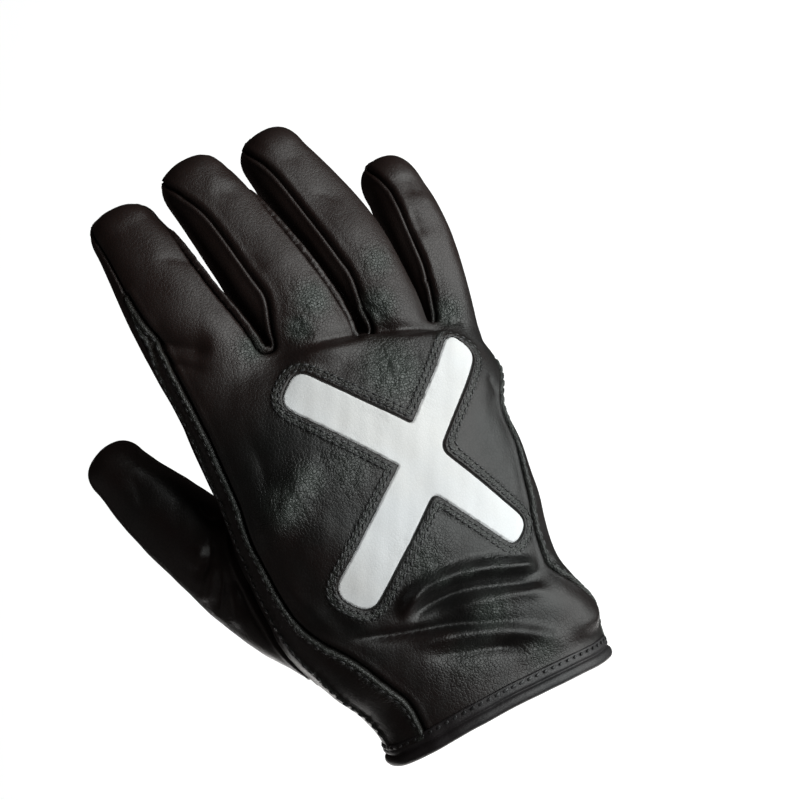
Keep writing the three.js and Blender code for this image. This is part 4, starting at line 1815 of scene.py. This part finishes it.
@dataclass(frozen=True)
class Hem:
    """The bound hem around the wrist opening.

    Each profile row is the height along the hand and how far it stands out of the leather, in millimetres,
    once around the binding's section. The back of the hand draws the hem up by rise, over heights and
    sideways distances from the start of a pair to its end. swells are the waves outwards and along the hand,
    each a length in metres, a seed and a height in millimetres.
    """

    palm: Palm
    profile: tuple[tuple[float, float], ...] = (
        (6.5, 0.1),
        (6.35, 0.4),
        (5.9, 0.58),
        (5.5, 0.42),
        (5.1, 0.42),
        (4.6, 0.62),
        (3.7, 0.66),
        (3.1, 0.4),
        (2.85, 0.05),
        (2.6, 0.05),
        (2.35, 0.42),
        (1.7, 0.85),
        (0.8, 1.0),
        (-0.1, 0.88),
        (-0.8, 0.45),
        (-1.15, -0.3),
        (-1.0, -1.1),
        (-0.4, -1.7),
        (0.6, -2.05),
        (2.6, -2.1),
        (4.6, -2.1),
        (6.1, -2.05),
        (6.45, -1.8),
        (6.3, -1.45),
        (3.4, -1.45),
        (3.2, -0.7),
        (3.4, -0.04),
        (6.3, -0.04),
    )
    points_around: int = 420
    rise: float = 2.6 * MM
    rise_height: tuple[float, float] = (0.0, 14 * MM)
    rise_width: tuple[float, float] = (12 * MM, 38 * MM)
    rise_middle: float = -4 * MM
    stitch_line: tuple[float, float] = (5.3, 0.42)
    swells: tuple[tuple[float, int, float], ...] = ((9 * MM, 22, 0.12), (22 * MM, 21, 0.25))

    def raised(self, points: np.ndarray) -> np.ndarray:
        """How far the filled back of the hand draws the hem up.

        Args:
            points: places in metres.

        Returns:
            The height for each point, in metres.
        """
        sideways = np.abs(points[:, 0] - self.rise_middle)
        narrow = 1 - smoothstep(sideways, *self.rise_width)
        return self.rise * smoothstep(points[:, 2], *self.rise_height) * narrow

    def ring(self, height: float, proud: float) -> np.ndarray:
        """One line of the binding around the wrist.

        Args:
            height: millimetres along the hand.
            proud: millimetres that it stands out of the leather.

        Returns:
            Its points, in metres.
        """
        ring = self.palm.ring(height, proud, self.points_around)
        around = ring * np.array([1.0, 0.0, 1.0])
        bulge, sway = (waves(around, length, seed) * height * MM for length, seed, height in self.swells)
        outwards = around / np.linalg.norm(around, axis=1)[:, None]
        moved = ring + outwards * bulge[:, None]
        moved[:, 1] += self.raised(ring) + sway
        return moved

    def make(self) -> bpy.types.Object:
        """Makes the binding.

        Returns:
            The finished object, without its material.
        """
        bm = bmesh.new()
        add_tube(bm, [self.ring(height, proud) for height, proud in self.profile], closed_on_itself=True)
        bmesh.ops.recalc_face_normals(bm, faces=bm.faces)
        bm.verts.layers.float.new("crinkle_and_sheen")
        return finish_mesh(bm, "cuff_binding_leather")

    def stitch_path(self) -> np.ndarray:
        """The line of the hem's stitches, in metres."""
        path = self.ring(*self.stitch_line)
        return np.vstack([path, path[:1]])


@dataclass(frozen=True)
class Stitching:
    """Rows of thread, with sizes in metres. raised is the share of its height by which a stitch is lifted."""

    length: float = 1.95 * MM
    gap: float = 0.45 * MM
    width: float = 0.85 * MM
    height: float = 0.6 * MM
    raised: float = 0.12
    slant: float = math.radians(15.0)
    around: int = 6
    along: int = 4

    def row(self, bm: bmesh.types.BMesh, path: np.ndarray, normals: np.ndarray) -> int:
        """Sews one row.

        Args:
            bm: the bmesh that takes the stitches.
            path: the row's line, on the leather.
            normals: the leather's normals along it.

        Returns:
            The number of stitches.
        """
        lengths = np.concatenate([[0], np.cumsum(np.linalg.norm(np.diff(path, axis=0), axis=1))])
        pitch = self.length + self.gap
        count = int(lengths[-1] / pitch)
        for i in range(count):
            middle = (i + 0.5) * lengths[-1] / count
            marks = (middle - self.length / 2, middle, middle + self.length / 2)
            start, centre, end = (
                Vector([np.interp(mark, lengths, column) for column in path.T]) for mark in marks
            )
            up = Vector([np.interp(middle, lengths, column) for column in normals.T]).normalized()
            along = (end - start).normalized()
            along = (along - along.dot(up) * up).normalized()
            side = up.cross(along)
            turned = math.cos(self.slant) * along + math.sin(self.slant) * side
            across = up.cross(turned)
            scale = Matrix.Diagonal((self.length / 2, self.width / 2, self.height / 2, 1.0))
            frame = Matrix((turned, across, up)).transposed().to_4x4()
            place = Matrix.Translation(centre + up * self.height * self.raised) @ frame @ scale @ LENGTHWAYS
            bmesh.ops.create_uvsphere(
                bm, u_segments=self.around, v_segments=self.along, radius=1.0, matrix=place
            )
        return count


LENGTHWAYS = Matrix.Rotation(math.radians(90.0), 4, "Y")
Row = tuple[np.ndarray, np.ndarray]


@dataclass(frozen=True)
class Seamstress:
    """Places the rows of stitches on the finished leather.

    Sizes are in millimetres, apart from far, how far off the rays to the leather start, in metres.
    """

    leather: dict[Piece, bpy.types.Object]
    saltire: Saltire
    hem: Hem
    cross_rows: tuple[float, float] = (1.55, 3.35)
    band_start: float = 9.0
    band_inset: float = 1.25
    band_end: float = 2.6
    step: float = 0.8
    far: float = 0.2
    fine: Stitching = Stitching()
    bold: Stitching = Stitching(length=2.35 * MM, gap=0.7 * MM, width=1.15 * MM, height=0.66 * MM)

    @staticmethod
    def tree(made: bpy.types.Object) -> BVHTree:
        """Builds a search tree.

        Args:
            made: the piece.

        Returns:
            Its tree.
        """
        bm = bmesh.new()
        bm.from_mesh(made.data)
        tree = BVHTree.FromBMesh(bm)
        bm.free()
        return tree

    def sewn(self, name: str, thread: Stitching, rows: Sequence[Row | None]) -> bpy.types.Object:
        """Sews rows of stitches.

        Args:
            name: the new object's name.
            thread: the thread.
            rows: places and normals of each row, or None for one that hit nothing.

        Returns:
            The stitches, as one object.
        """
        bm = bmesh.new()
        count = sum(thread.row(bm, *row) for row in rows if row is not None)
        made = finish_mesh(bm, name)
        log.info("%s: %d stitches, %d faces", name, count, len(made.data.polygons))
        return made

    def cross(self) -> bpy.types.Object:
        """Sews the two rows around the cross.

        Returns:
            The stitches.
        """
        tree = self.tree(self.leather[Piece.BACK])
        rows = []
        for grow in self.cross_rows:
            outline = self.saltire.outline(grow)
            outline = dense(np.vstack([outline, outline[:1]]), self.step)
            rows.append(cast_rows(tree, [Vector((x * MM, y * MM, self.far)) for x, y in outline], (0, 0, -1)))
        return self.sewn("cross_stitches", self.fine, rows)

    def band(self, piece: Piece, name: str) -> bpy.types.Object:
        """Sews the rows along both edges of a side band.

        Args:
            piece: the band.
            name: the new object's name.

        Returns:
            The stitches.
        """
        band = BANDS[piece]
        tree = self.tree(self.leather[piece])
        last = band.rows[-1][0] - self.band_end * self.band_inset / band.taper
        y = np.arange(self.band_start, last, self.step)
        _, low, high = band.edges(y)
        rows = []
        for z in (high - self.band_inset, low + self.band_inset):
            starts = [Vector((band.way * self.far, a * MM, b * MM)) for a, b in zip(y, z)]
            rows.append(cast_rows(tree, starts, (-band.way, 0, 0)))
        return self.sewn(name, self.bold, rows)

    def wrist(self) -> bpy.types.Object:
        """Sews the row around the hem.

        Returns:
            The stitches.
        """
        path = self.hem.stitch_path()
        outwards = path * np.array([1.0, 0.0, 1.0])
        outwards /= np.linalg.norm(outwards, axis=1)[:, None]
        return self.sewn("hem_stitches", self.bold, [(path, outwards)])


def dense(line: np.ndarray, step: float) -> np.ndarray:
    """Adds points to a line.

    Args:
        line: its corners.
        step: the longest distance between two points.

    Returns:
        The line's points.
    """
    parts = []
    for start, end in zip(line, line[1:]):
        count = max(1, int(np.linalg.norm(end - start) / step))
        parts += [start + (end - start) * i / count for i in range(count)]
    return np.array([*parts, line[-1]])


LINE_SMOOTHING = 3


def cast_rows(tree: BVHTree, starts: Sequence[Vector], way: Sequence[float]) -> Row | None:
    """Casts a line of points onto a piece.

    Args:
        tree: the piece's search tree.
        starts: where the rays start.
        way: their direction.

    Returns:
        The places hit and the normals there, or None when fewer than three rays hit.
    """
    hits = [tree.ray_cast(start, Vector(way)) for start in starts]
    hits = [hit for hit in hits if hit[0] is not None]
    if len(hits) < 3:
        return None
    places, normals = (np.array([hit[i] for hit in hits]) for i in (0, 1))
    for _ in range(LINE_SMOOTHING):
        for values in (places, normals):
            values[1:-1] = (values[:-2] + 2 * values[1:-1] + values[2:]) / 4
    return places, normals


Socket = bpy.types.NodeSocket
Colour = tuple[float, float, float]


@dataclass(frozen=True)
class Nodes:
    """A short hand for building a node tree. A socket stands wherever a value does."""

    tree: bpy.types.NodeTree

    def add(self, kind: str, settings: dict[str, object] | None = None, **inputs: object) -> bpy.types.Node:
        """Adds a node.

        Args:
            kind: the node's type.
            settings: its own options by name.
            inputs: values or sockets for its inputs by name, with _ for a space.

        Returns:
            The node.
        """
        node = self.tree.nodes.new(kind)
        for name, value in (settings or {}).items():
            setattr(node, name, value)
        for name, value in inputs.items():
            self.feed(node.inputs[name.replace("_", " ")], value)
        return node

    def feed(self, socket: Socket, value: object) -> None:
        """Fills an input.

        Args:
            socket: the input.
            value: what it gets.
        """
        if isinstance(value, Socket):
            self.tree.links.new(value, socket)
        else:
            socket.default_value = value

    def math(self, operation: str, *values: object) -> Socket:
        """Works out one number from others.

        Args:
            operation: the name of the sum.
            values: its numbers.

        Returns:
            The result.
        """
        node = self.tree.nodes.new("ShaderNodeMath")
        node.operation = operation
        for socket, value in zip(node.inputs, values):
            self.feed(socket, value)
        return node.outputs[0]

    def graded(self, value: object, low: float, high: float, start: float = 0.0, end: float = 1.0) -> Socket:
        """Maps a range of a value smoothly to another range.

        Args:
            value: the value.
            low: where its range starts.
            high: where its range ends.
            start: the result at low.
            end: the result at high.

        Returns:
            The result.
        """
        node = self.add("ShaderNodeMapRange", {"interpolation_type": "SMOOTHSTEP"}, Value=value)
        for name, number in (("From Min", low), ("From Max", high), ("To Min", start), ("To Max", end)):
            node.inputs[name].default_value = number
        return node.outputs[0]

    def mixed(self, share: object, first: object, second: object) -> Socket:
        """Mixes two colours.

        Args:
            share: how much of the second one.
            first: one colour.
            second: the other one.

        Returns:
            The mix.
        """
        node = self.tree.nodes.new("ShaderNodeMix")
        node.data_type = "RGBA"
        for place, value in ((0, share), (6, first), (7, second)):
            self.feed(node.inputs[place], value)
        return node.outputs[2]

    def noise(self, place: object, scale: float, detail: float, roughness: float = 0.5) -> Socket:
        """Makes a cloudy mask.

        Args:
            place: where it is read.
            scale: its clouds for each metre.
            detail: how many finer layers it has.
            roughness: how strong these are.

        Returns:
            The mask.
        """
        kind = "ShaderNodeTexNoise"
        return self.add(kind, Vector=place, Scale=scale, Detail=detail, Roughness=roughness).outputs[0]


def new_material(name: str) -> tuple[bpy.types.Material, Nodes, bpy.types.Node]:
    """Makes an empty material.

    Args:
        name: its name.

    Returns:
        The material, its nodes and its shader.
    """
    made = bpy.data.materials.new(name)
    made.use_nodes = True
    return made, Nodes(made.node_tree), made.node_tree.nodes["Principled BSDF"]


@dataclass(frozen=True)
class Grain:
    """The pebbled grain that every leather here shares.

    bend_scale and wrinkle_scale are clouds for each metre, bend is in metres, coarse_count is a share of the
    pebbles' count, and the widths are shares of a cell. The other numbers are shares of the grain's height.
    """

    bend_scale: float = 420.0
    bend: float = 0.0009
    wrinkle_scale: float = 520.0
    coarse_count: float = 0.42
    crest_width: float = 0.16
    channel_width: float = 0.12
    crest: float = 0.5
    dome: float = 0.35
    channel: float = 0.35
    plain: float = 0.28
    crinkled: float = 1.9
    wrinkled: float = 1.5

    def group(self) -> bpy.types.NodeTree:
        """Builds the grain.

        Returns:
            A group from a place, a pebble count for each metre and a crinkle mask to a height and a pore
            mask.
        """
        tree = bpy.data.node_groups.new("pebbled_grain", "ShaderNodeTree")
        kinds = {"Vector": "NodeSocketVector", "Pebbles": "NodeSocketFloat", "Crinkle": "NodeSocketFloat"}
        for name, kind in kinds.items():
            tree.interface.new_socket(name, in_out="INPUT", socket_type=kind)
        for name in ("Height", "Pores"):
            tree.interface.new_socket(name, in_out="OUTPUT", socket_type="NodeSocketFloat")
        nodes = Nodes(tree)
        given = nodes.add("NodeGroupInput").outputs
        bend = nodes.add("ShaderNodeTexNoise", Vector=given["Vector"], Scale=self.bend_scale, Detail=2.0)
        shift = nodes.add("ShaderNodeVectorMath", {"operation": "MULTIPLY_ADD"})
        for socket, value in zip(shift.inputs, (bend.outputs["Color"], (self.bend,) * 3, given["Vector"])):
            nodes.feed(socket, value)
        place = shift.outputs[0]
        fine, coarse = given["Pebbles"], nodes.math("MULTIPLY", given["Pebbles"], self.coarse_count)
        cells = "ShaderNodeTexVoronoi"
        pebbles, edges, channels = (
            nodes.add(cells, {"feature": feature}, Vector=place, Scale=count).outputs["Distance"]
            for feature, count in (("F1", fine), ("DISTANCE_TO_EDGE", fine), ("DISTANCE_TO_EDGE", coarse))
        )
        fold = nodes.noise(place, self.wrinkle_scale, 3.0, 0.6)
        crest = nodes.graded(edges, 0.0, self.crest_width)
        dome = nodes.math("SUBTRACT", 1.0, pebbles)
        channel = nodes.graded(channels, 0.0, self.channel_width)
        strong = nodes.math("MULTIPLY_ADD", given["Crinkle"], self.crinkled, self.plain)
        parts = ((crest, self.crest), (dome, self.dome), (channel, self.channel))
        shares = [nodes.math("MULTIPLY", part, share) for part, share in parts]
        body = nodes.math("ADD", nodes.math("ADD", shares[0], shares[1]), shares[2])
        wrinkle = nodes.math("MULTIPLY", fold, nodes.math("MULTIPLY", given["Crinkle"], self.wrinkled))
        out = nodes.add("NodeGroupOutput")
        nodes.feed(out.inputs["Height"], nodes.math("ADD", nodes.math("MULTIPLY", body, strong), wrinkle))
        nodes.feed(out.inputs["Pores"], nodes.math("SUBTRACT", 1.0, crest))
        return tree


@dataclass(frozen=True)
class LeatherFinish:
    """A dyed, pebbled leather.

    Its colour drifts between warm and cool in clouds, and towards tips at the ends of the fingers. Where it is
    crinkled it is lightened towards crest, a painted sheen that stands in for the highlights on crinkled
    leather. smooth and dull are the ends of its roughness. cloud and patch are clouds for each metre. A mix is
    where it starts and where it is full, with its shares there if they aren't 0 and 1, and tips_mix is in
    metres along the hand.
    """

    name: str
    colour: Colour
    warm: Colour
    cool: Colour
    smooth: float
    dull: float
    crest: Colour
    tips: Colour
    pebbles: float = 980.0
    grain_depth: float = 0.00014
    pore_shade: float = 0.35
    specular: float = 0.5
    cloud: float = 26.0
    cloud_mix: tuple[float, float] = (0.4, 0.62)
    patch: float = 60.0
    patch_mix: tuple[float, float, float, float] = (0.35, 0.7, 0.0, 0.6)
    gloss_mix: tuple[float, float] = (0.3, 0.7)
    tips_mix: tuple[float, float] = (0.105, 0.15)
    painted_sheen_mix: tuple[float, float] = (0.1, 0.9)
    pore_dullness: float = 0.12
    crinkle_gloss: float = 0.08

    def material(self, grain: bpy.types.NodeTree) -> bpy.types.Material:
        """Builds the finish.

        Args:
            grain: the shared grain group.

        Returns:
            The material.
        """
        made, nodes, shader = new_material(self.name)
        place = nodes.add("ShaderNodeTexCoord").outputs["Object"]
        crinkle_and_sheen = nodes.add("ShaderNodeAttribute", {"attribute_name": "crinkle_and_sheen"}).outputs["Fac"]
        given = {"Vector": place, "Pebbles": self.pebbles, "Crinkle": crinkle_and_sheen}
        group = nodes.add("ShaderNodeGroup", {"node_tree": grain}, **given)
        pores = group.outputs["Pores"]
        tone = nodes.noise(place, self.cloud, 3.0, 0.55)
        patch = nodes.noise(place, self.patch, 4.0, 0.6)
        body = nodes.mixed(nodes.graded(tone, *self.cloud_mix), (*self.warm, 1.0), (*self.cool, 1.0))
        body = nodes.mixed(nodes.graded(patch, *self.patch_mix), body, (*self.colour, 1.0))
        along = nodes.add("ShaderNodeSeparateXYZ", Vector=place).outputs["Y"]
        body = nodes.mixed(nodes.graded(along, *self.tips_mix), body, (*self.tips, 1.0))
        # painted sheen: crinkled leather is lightened towards the crest colour, which stands in for its
        # highlights
        body = nodes.mixed(nodes.graded(crinkle_and_sheen, *self.painted_sheen_mix), body, (*self.crest, 1.0))
        shaded = nodes.mixed(nodes.math("MULTIPLY", pores, self.pore_shade), body, (0.0, 0.0, 0.0, 1.0))
        gloss = nodes.graded(patch, *self.gloss_mix, self.smooth, self.dull)
        gloss = nodes.math("ADD", gloss, nodes.math("MULTIPLY", pores, self.pore_dullness))
        gloss = nodes.math("SUBTRACT", gloss, nodes.math("MULTIPLY", crinkle_and_sheen, self.crinkle_gloss))
        height = group.outputs["Height"]
        bump = nodes.add("ShaderNodeBump", Strength=1.0, Distance=self.grain_depth, Height=height)
        nodes.feed(shader.inputs["Base Color"], shaded)
        nodes.feed(shader.inputs["Roughness"], gloss)
        nodes.feed(shader.inputs["Normal"], bump.outputs[0])
        shader.inputs["Specular IOR Level"].default_value = self.specular
        return made


@dataclass(frozen=True)
class PlainFinish:
    """A matt, fibrous finish for thread and for the leather's inner side.

    fibres and cloud are clouds for each metre, and depth is the fibres' height in metres. A mix is where it
    starts and where it is full, with its values there if they aren't 0 and 1.
    """

    name: str
    dark: Colour
    light: Colour
    roughness: float
    fibres: float
    depth: float
    cloud: float = 90.0
    cloud_mix: tuple[float, float, float, float] = (0.3, 0.7, 0.6, 1.2)
    colour_mix: tuple[float, float] = (0.25, 0.65)
    gloss_mix: tuple[float, float] = (0.3, 0.7)
    gloss_range: float = 0.1
    bump: float = 0.8

    def material(self) -> bpy.types.Material:
        """Builds the finish.

        Returns:
            The material.
        """
        made, nodes, shader = new_material(self.name)
        place = nodes.add("ShaderNodeTexCoord").outputs["Object"]
        nap = nodes.noise(place, self.fibres, 4.0, 0.7)
        cloud = nodes.noise(place, self.cloud, 2.0)
        shade = nodes.math("MULTIPLY", nap, nodes.graded(cloud, *self.cloud_mix))
        colour = nodes.mixed(nodes.graded(shade, *self.colour_mix), (*self.dark, 1.0), (*self.light, 1.0))
        bump = nodes.add("ShaderNodeBump", Strength=self.bump, Distance=self.depth, Height=nap)
        rough = min(1.0, self.roughness + self.gloss_range)
        nodes.feed(shader.inputs["Base Color"], colour)
        nodes.feed(shader.inputs["Roughness"], nodes.graded(nap, *self.gloss_mix, self.roughness, rough))
        nodes.feed(shader.inputs["Normal"], bump.outputs[0])
        return made


BLACK = LeatherFinish(
    "black_leather_finish",
    colour=(0.0085, 0.0066, 0.0062),
    warm=(0.012, 0.007, 0.0064),
    cool=(0.0068, 0.0074, 0.007),
    smooth=0.33,
    dull=0.46,
    # crest is a painted sheen, a light grey-green that stands in for the highlights on crinkled leather
    crest=(0.046, 0.054, 0.048),
    tips=(0.019, 0.0105, 0.009),
)
HEM_BLACK = LeatherFinish(
    "hem_leather_finish",
    colour=(0.016, 0.014, 0.016),
    warm=(0.02, 0.0165, 0.018),
    cool=(0.015, 0.015, 0.017),
    smooth=0.4,
    dull=0.52,
    crest=(0.016, 0.014, 0.016),
    tips=(0.016, 0.014, 0.016),
)
WHITE = LeatherFinish(
    "white_leather_finish",
    colour=(0.84, 0.845, 0.855),
    warm=(0.83, 0.825, 0.82),
    cool=(0.83, 0.845, 0.865),
    smooth=0.42,
    dull=0.55,
    crest=(0.84, 0.845, 0.855),
    tips=(0.84, 0.845, 0.855),
    grain_depth=0.00006,
    pore_shade=0.03,
    specular=0.3,
)
FLESH_SIDE = PlainFinish(
    "flesh_side_finish",
    dark=(0.02, 0.018, 0.017),
    light=(0.055, 0.05, 0.047),
    roughness=0.85,
    fibres=1800.0,
    depth=0.00012,
)
THREAD = PlainFinish(
    "black_thread_finish",
    dark=(0.016, 0.016, 0.017),
    light=(0.06, 0.06, 0.062),
    roughness=0.36,
    fibres=3200.0,
    depth=0.00006,
)


@dataclass(frozen=True)
class Lamp:
    """A soft square light that the camera doesn't see.

    way is where it stands, as shares of the photograph's right, up and towards the camera. distance and size
    are in metres.
    """

    name: str
    way: tuple[float, float, float]
    distance: float
    size: float
    watts: float
    tint: Colour

    def make(self, view: PhotoView) -> None:
        """Adds the light.

        Args:
            view: the photograph's camera.
        """
        data = bpy.data.lights.new(self.name, "AREA")
        data.shape = "SQUARE"
        data.size = self.size
        data.energy = self.watts
        data.color = self.tint
        lamp = bpy.data.objects.new(self.name, data)
        lamp.visible_camera = False
        right, up, back = view.axes()
        aim = (self.way[0] * right + self.way[1] * up + self.way[2] * back).normalized()
        place = Matrix.Translation(Vector(view.target) + aim * self.distance)
        lamp.matrix_world = place @ aim.to_track_quat("Z", "Y").to_matrix().to_4x4()
        bpy.context.scene.collection.objects.link(lamp)


LAMPS = (
    Lamp("window_light", (0.91, 0.31, 0.4), 1.3, 1.9, 32.0, (0.96, 1.0, 0.985)),
    Lamp("top_light", (0.6, 0.3, 0.8), 1.4, 0.8, 2.6, (0.97, 1.0, 0.985)),
    Lamp("palm_light", (0.17, -0.7, -0.7), 1.0, 1.2, 11.0, (1.0, 0.98, 0.96)),
    Lamp("side_light", (-0.8, -0.5, 0.1), 1.2, 1.0, 0.3, (1.0, 0.95, 0.92)),
)


@dataclass(frozen=True)
class Studio:
    """A pale floor, a pale surrounding and soft lights, which are set from the photograph's camera."""

    view: PhotoView
    floor_place: tuple[float, float, float] = (0.0, 0.1, -0.75)
    floor_reach: float = 5.0
    floor_paint: tuple[tuple[str, object], ...] = (
        ("Base Color", (0.9, 0.9, 0.9, 1.0)),
        ("Roughness", 0.9),
        ("Specular IOR Level", 0.1),
        ("Emission Color", (1.0, 1.0, 1.0, 1.0)),
        ("Emission Strength", 0.45),
    )
    room_light: tuple[float, float, float, float] = (1.0, 0.78, 0.72, 1.0)
    room_strength: float = 0.025
    seen_light: tuple[float, float, float, float] = (1.0, 1.0, 1.0, 1.0)
    seen_strength: float = 0.98

    def floor(self) -> None:
        """Lays the floor, well below the held-up glove."""
        bm = bmesh.new()
        place = Matrix.Translation(self.floor_place)
        bmesh.ops.create_grid(bm, x_segments=1, y_segments=1, size=self.floor_reach, matrix=place)
        floor = finish_mesh(bm, "floor")
        paint, _, shader = new_material("pale_floor")
        for name, value in self.floor_paint:
            shader.inputs[name].default_value = value
        floor.data.materials.append(paint)
        floor.visible_glossy = False
        floor.visible_diffuse = False

    def room(self) -> None:
        """Makes a room that looks pale and gives little light of its own."""
        world = bpy.data.worlds.new("pale_room")
        world.use_nodes = True
        nodes = Nodes(world.node_tree)
        lighting = world.node_tree.nodes["Background"]
        lighting.inputs["Color"].default_value = self.room_light
        lighting.inputs["Strength"].default_value = self.room_strength
        seen = nodes.add("ShaderNodeBackground", Color=self.seen_light, Strength=self.seen_strength)
        chosen = nodes.add("ShaderNodeMixShader")
        by_camera = nodes.add("ShaderNodeLightPath").outputs["Is Camera Ray"]
        for socket, value in zip(chosen.inputs, (by_camera, lighting.outputs[0], seen.outputs[0])):
            nodes.feed(socket, value)
        nodes.feed(world.node_tree.nodes["World Output"].inputs["Surface"], chosen.outputs[0])
        bpy.context.scene.world = world

    def build(self) -> None:
        """Builds the whole studio."""
        self.floor()
        self.room()
        for lamp in LAMPS:
            lamp.make(self.view)
        bpy.context.scene.view_settings.view_transform = "Standard"


@dataclass
class Glove:
    """The whole glove, whose folds are placed from the photograph's camera."""

    view: PhotoView
    palm: Palm = Palm()
    saltire: Saltire = Saltire()
    grain: Grain = Grain()

    def __post_init__(self) -> None:
        """Makes the fingers, the hem and the finishes."""
        self.digits = make_fingers()
        self.hem = Hem(self.palm)
        grain = self.grain.group()
        self.black = BLACK.material(grain)
        self.white = WHITE.material(grain)
        self.hem_black = HEM_BLACK.material(grain)
        self.flesh = FLESH_SIDE.material()
        self.thread = THREAD.material()

    def dress(self, made: bpy.types.Object, slot: str, *materials: bpy.types.Material) -> None:
        """Gives a piece its materials and its body, and reports it.

        Args:
            made: the piece.
            slot: not used.
            materials: its materials, from the outer side inwards.
        """
        for material in materials:
            made.data.materials.append(material)
        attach(made, BODY)
        log.info("%s: %d faces", made.name, len(made.data.polygons))

    def build(self) -> None:
        """Builds every piece in order."""
        skin = Skin(self.palm, self.digits)
        log.info("skin: %d faces", len(skin.bm.faces))
        seams = Seams(skin, Pattern(self.palm, self.digits, self.saltire))
        leatherwork = Leatherwork(seams, self.view, self.hem)
        leather = {}
        for piece in PIECES:
            made = leatherwork.make(piece)
            leather[piece] = made
            white = piece is Piece.INLAY
            slot, outer = ("white_leather", self.white) if white else ("black_leather", self.black)
            self.dress(made, slot, outer, self.flesh)
            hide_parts(piece.value)
        binding = self.hem.make()
        self.dress(binding, "black_leather", self.hem_black)
        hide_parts("cuff_binding")
        sewing = Seamstress(leather, self.saltire, self.hem)
        rows = [sewing.cross(), sewing.wrist()]
        rows.append(sewing.band(Piece.INDEX_BAND, "index_band_stitches"))
        rows.append(sewing.band(Piece.LITTLE_BAND, "little_band_stitches"))
        for row in rows:
            self.dress(row, "black_leather", self.thread)


def main() -> None:
    """Builds the glove around its frame, with its studio and camera."""
    logging.basicConfig(level=logging.INFO, format="%(name)s: %(message)s")
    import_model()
    view = PhotoView()
    view.make_camera()
    Glove(view).build()
    Studio(view).build()


if __name__ == "__main__":
    main()
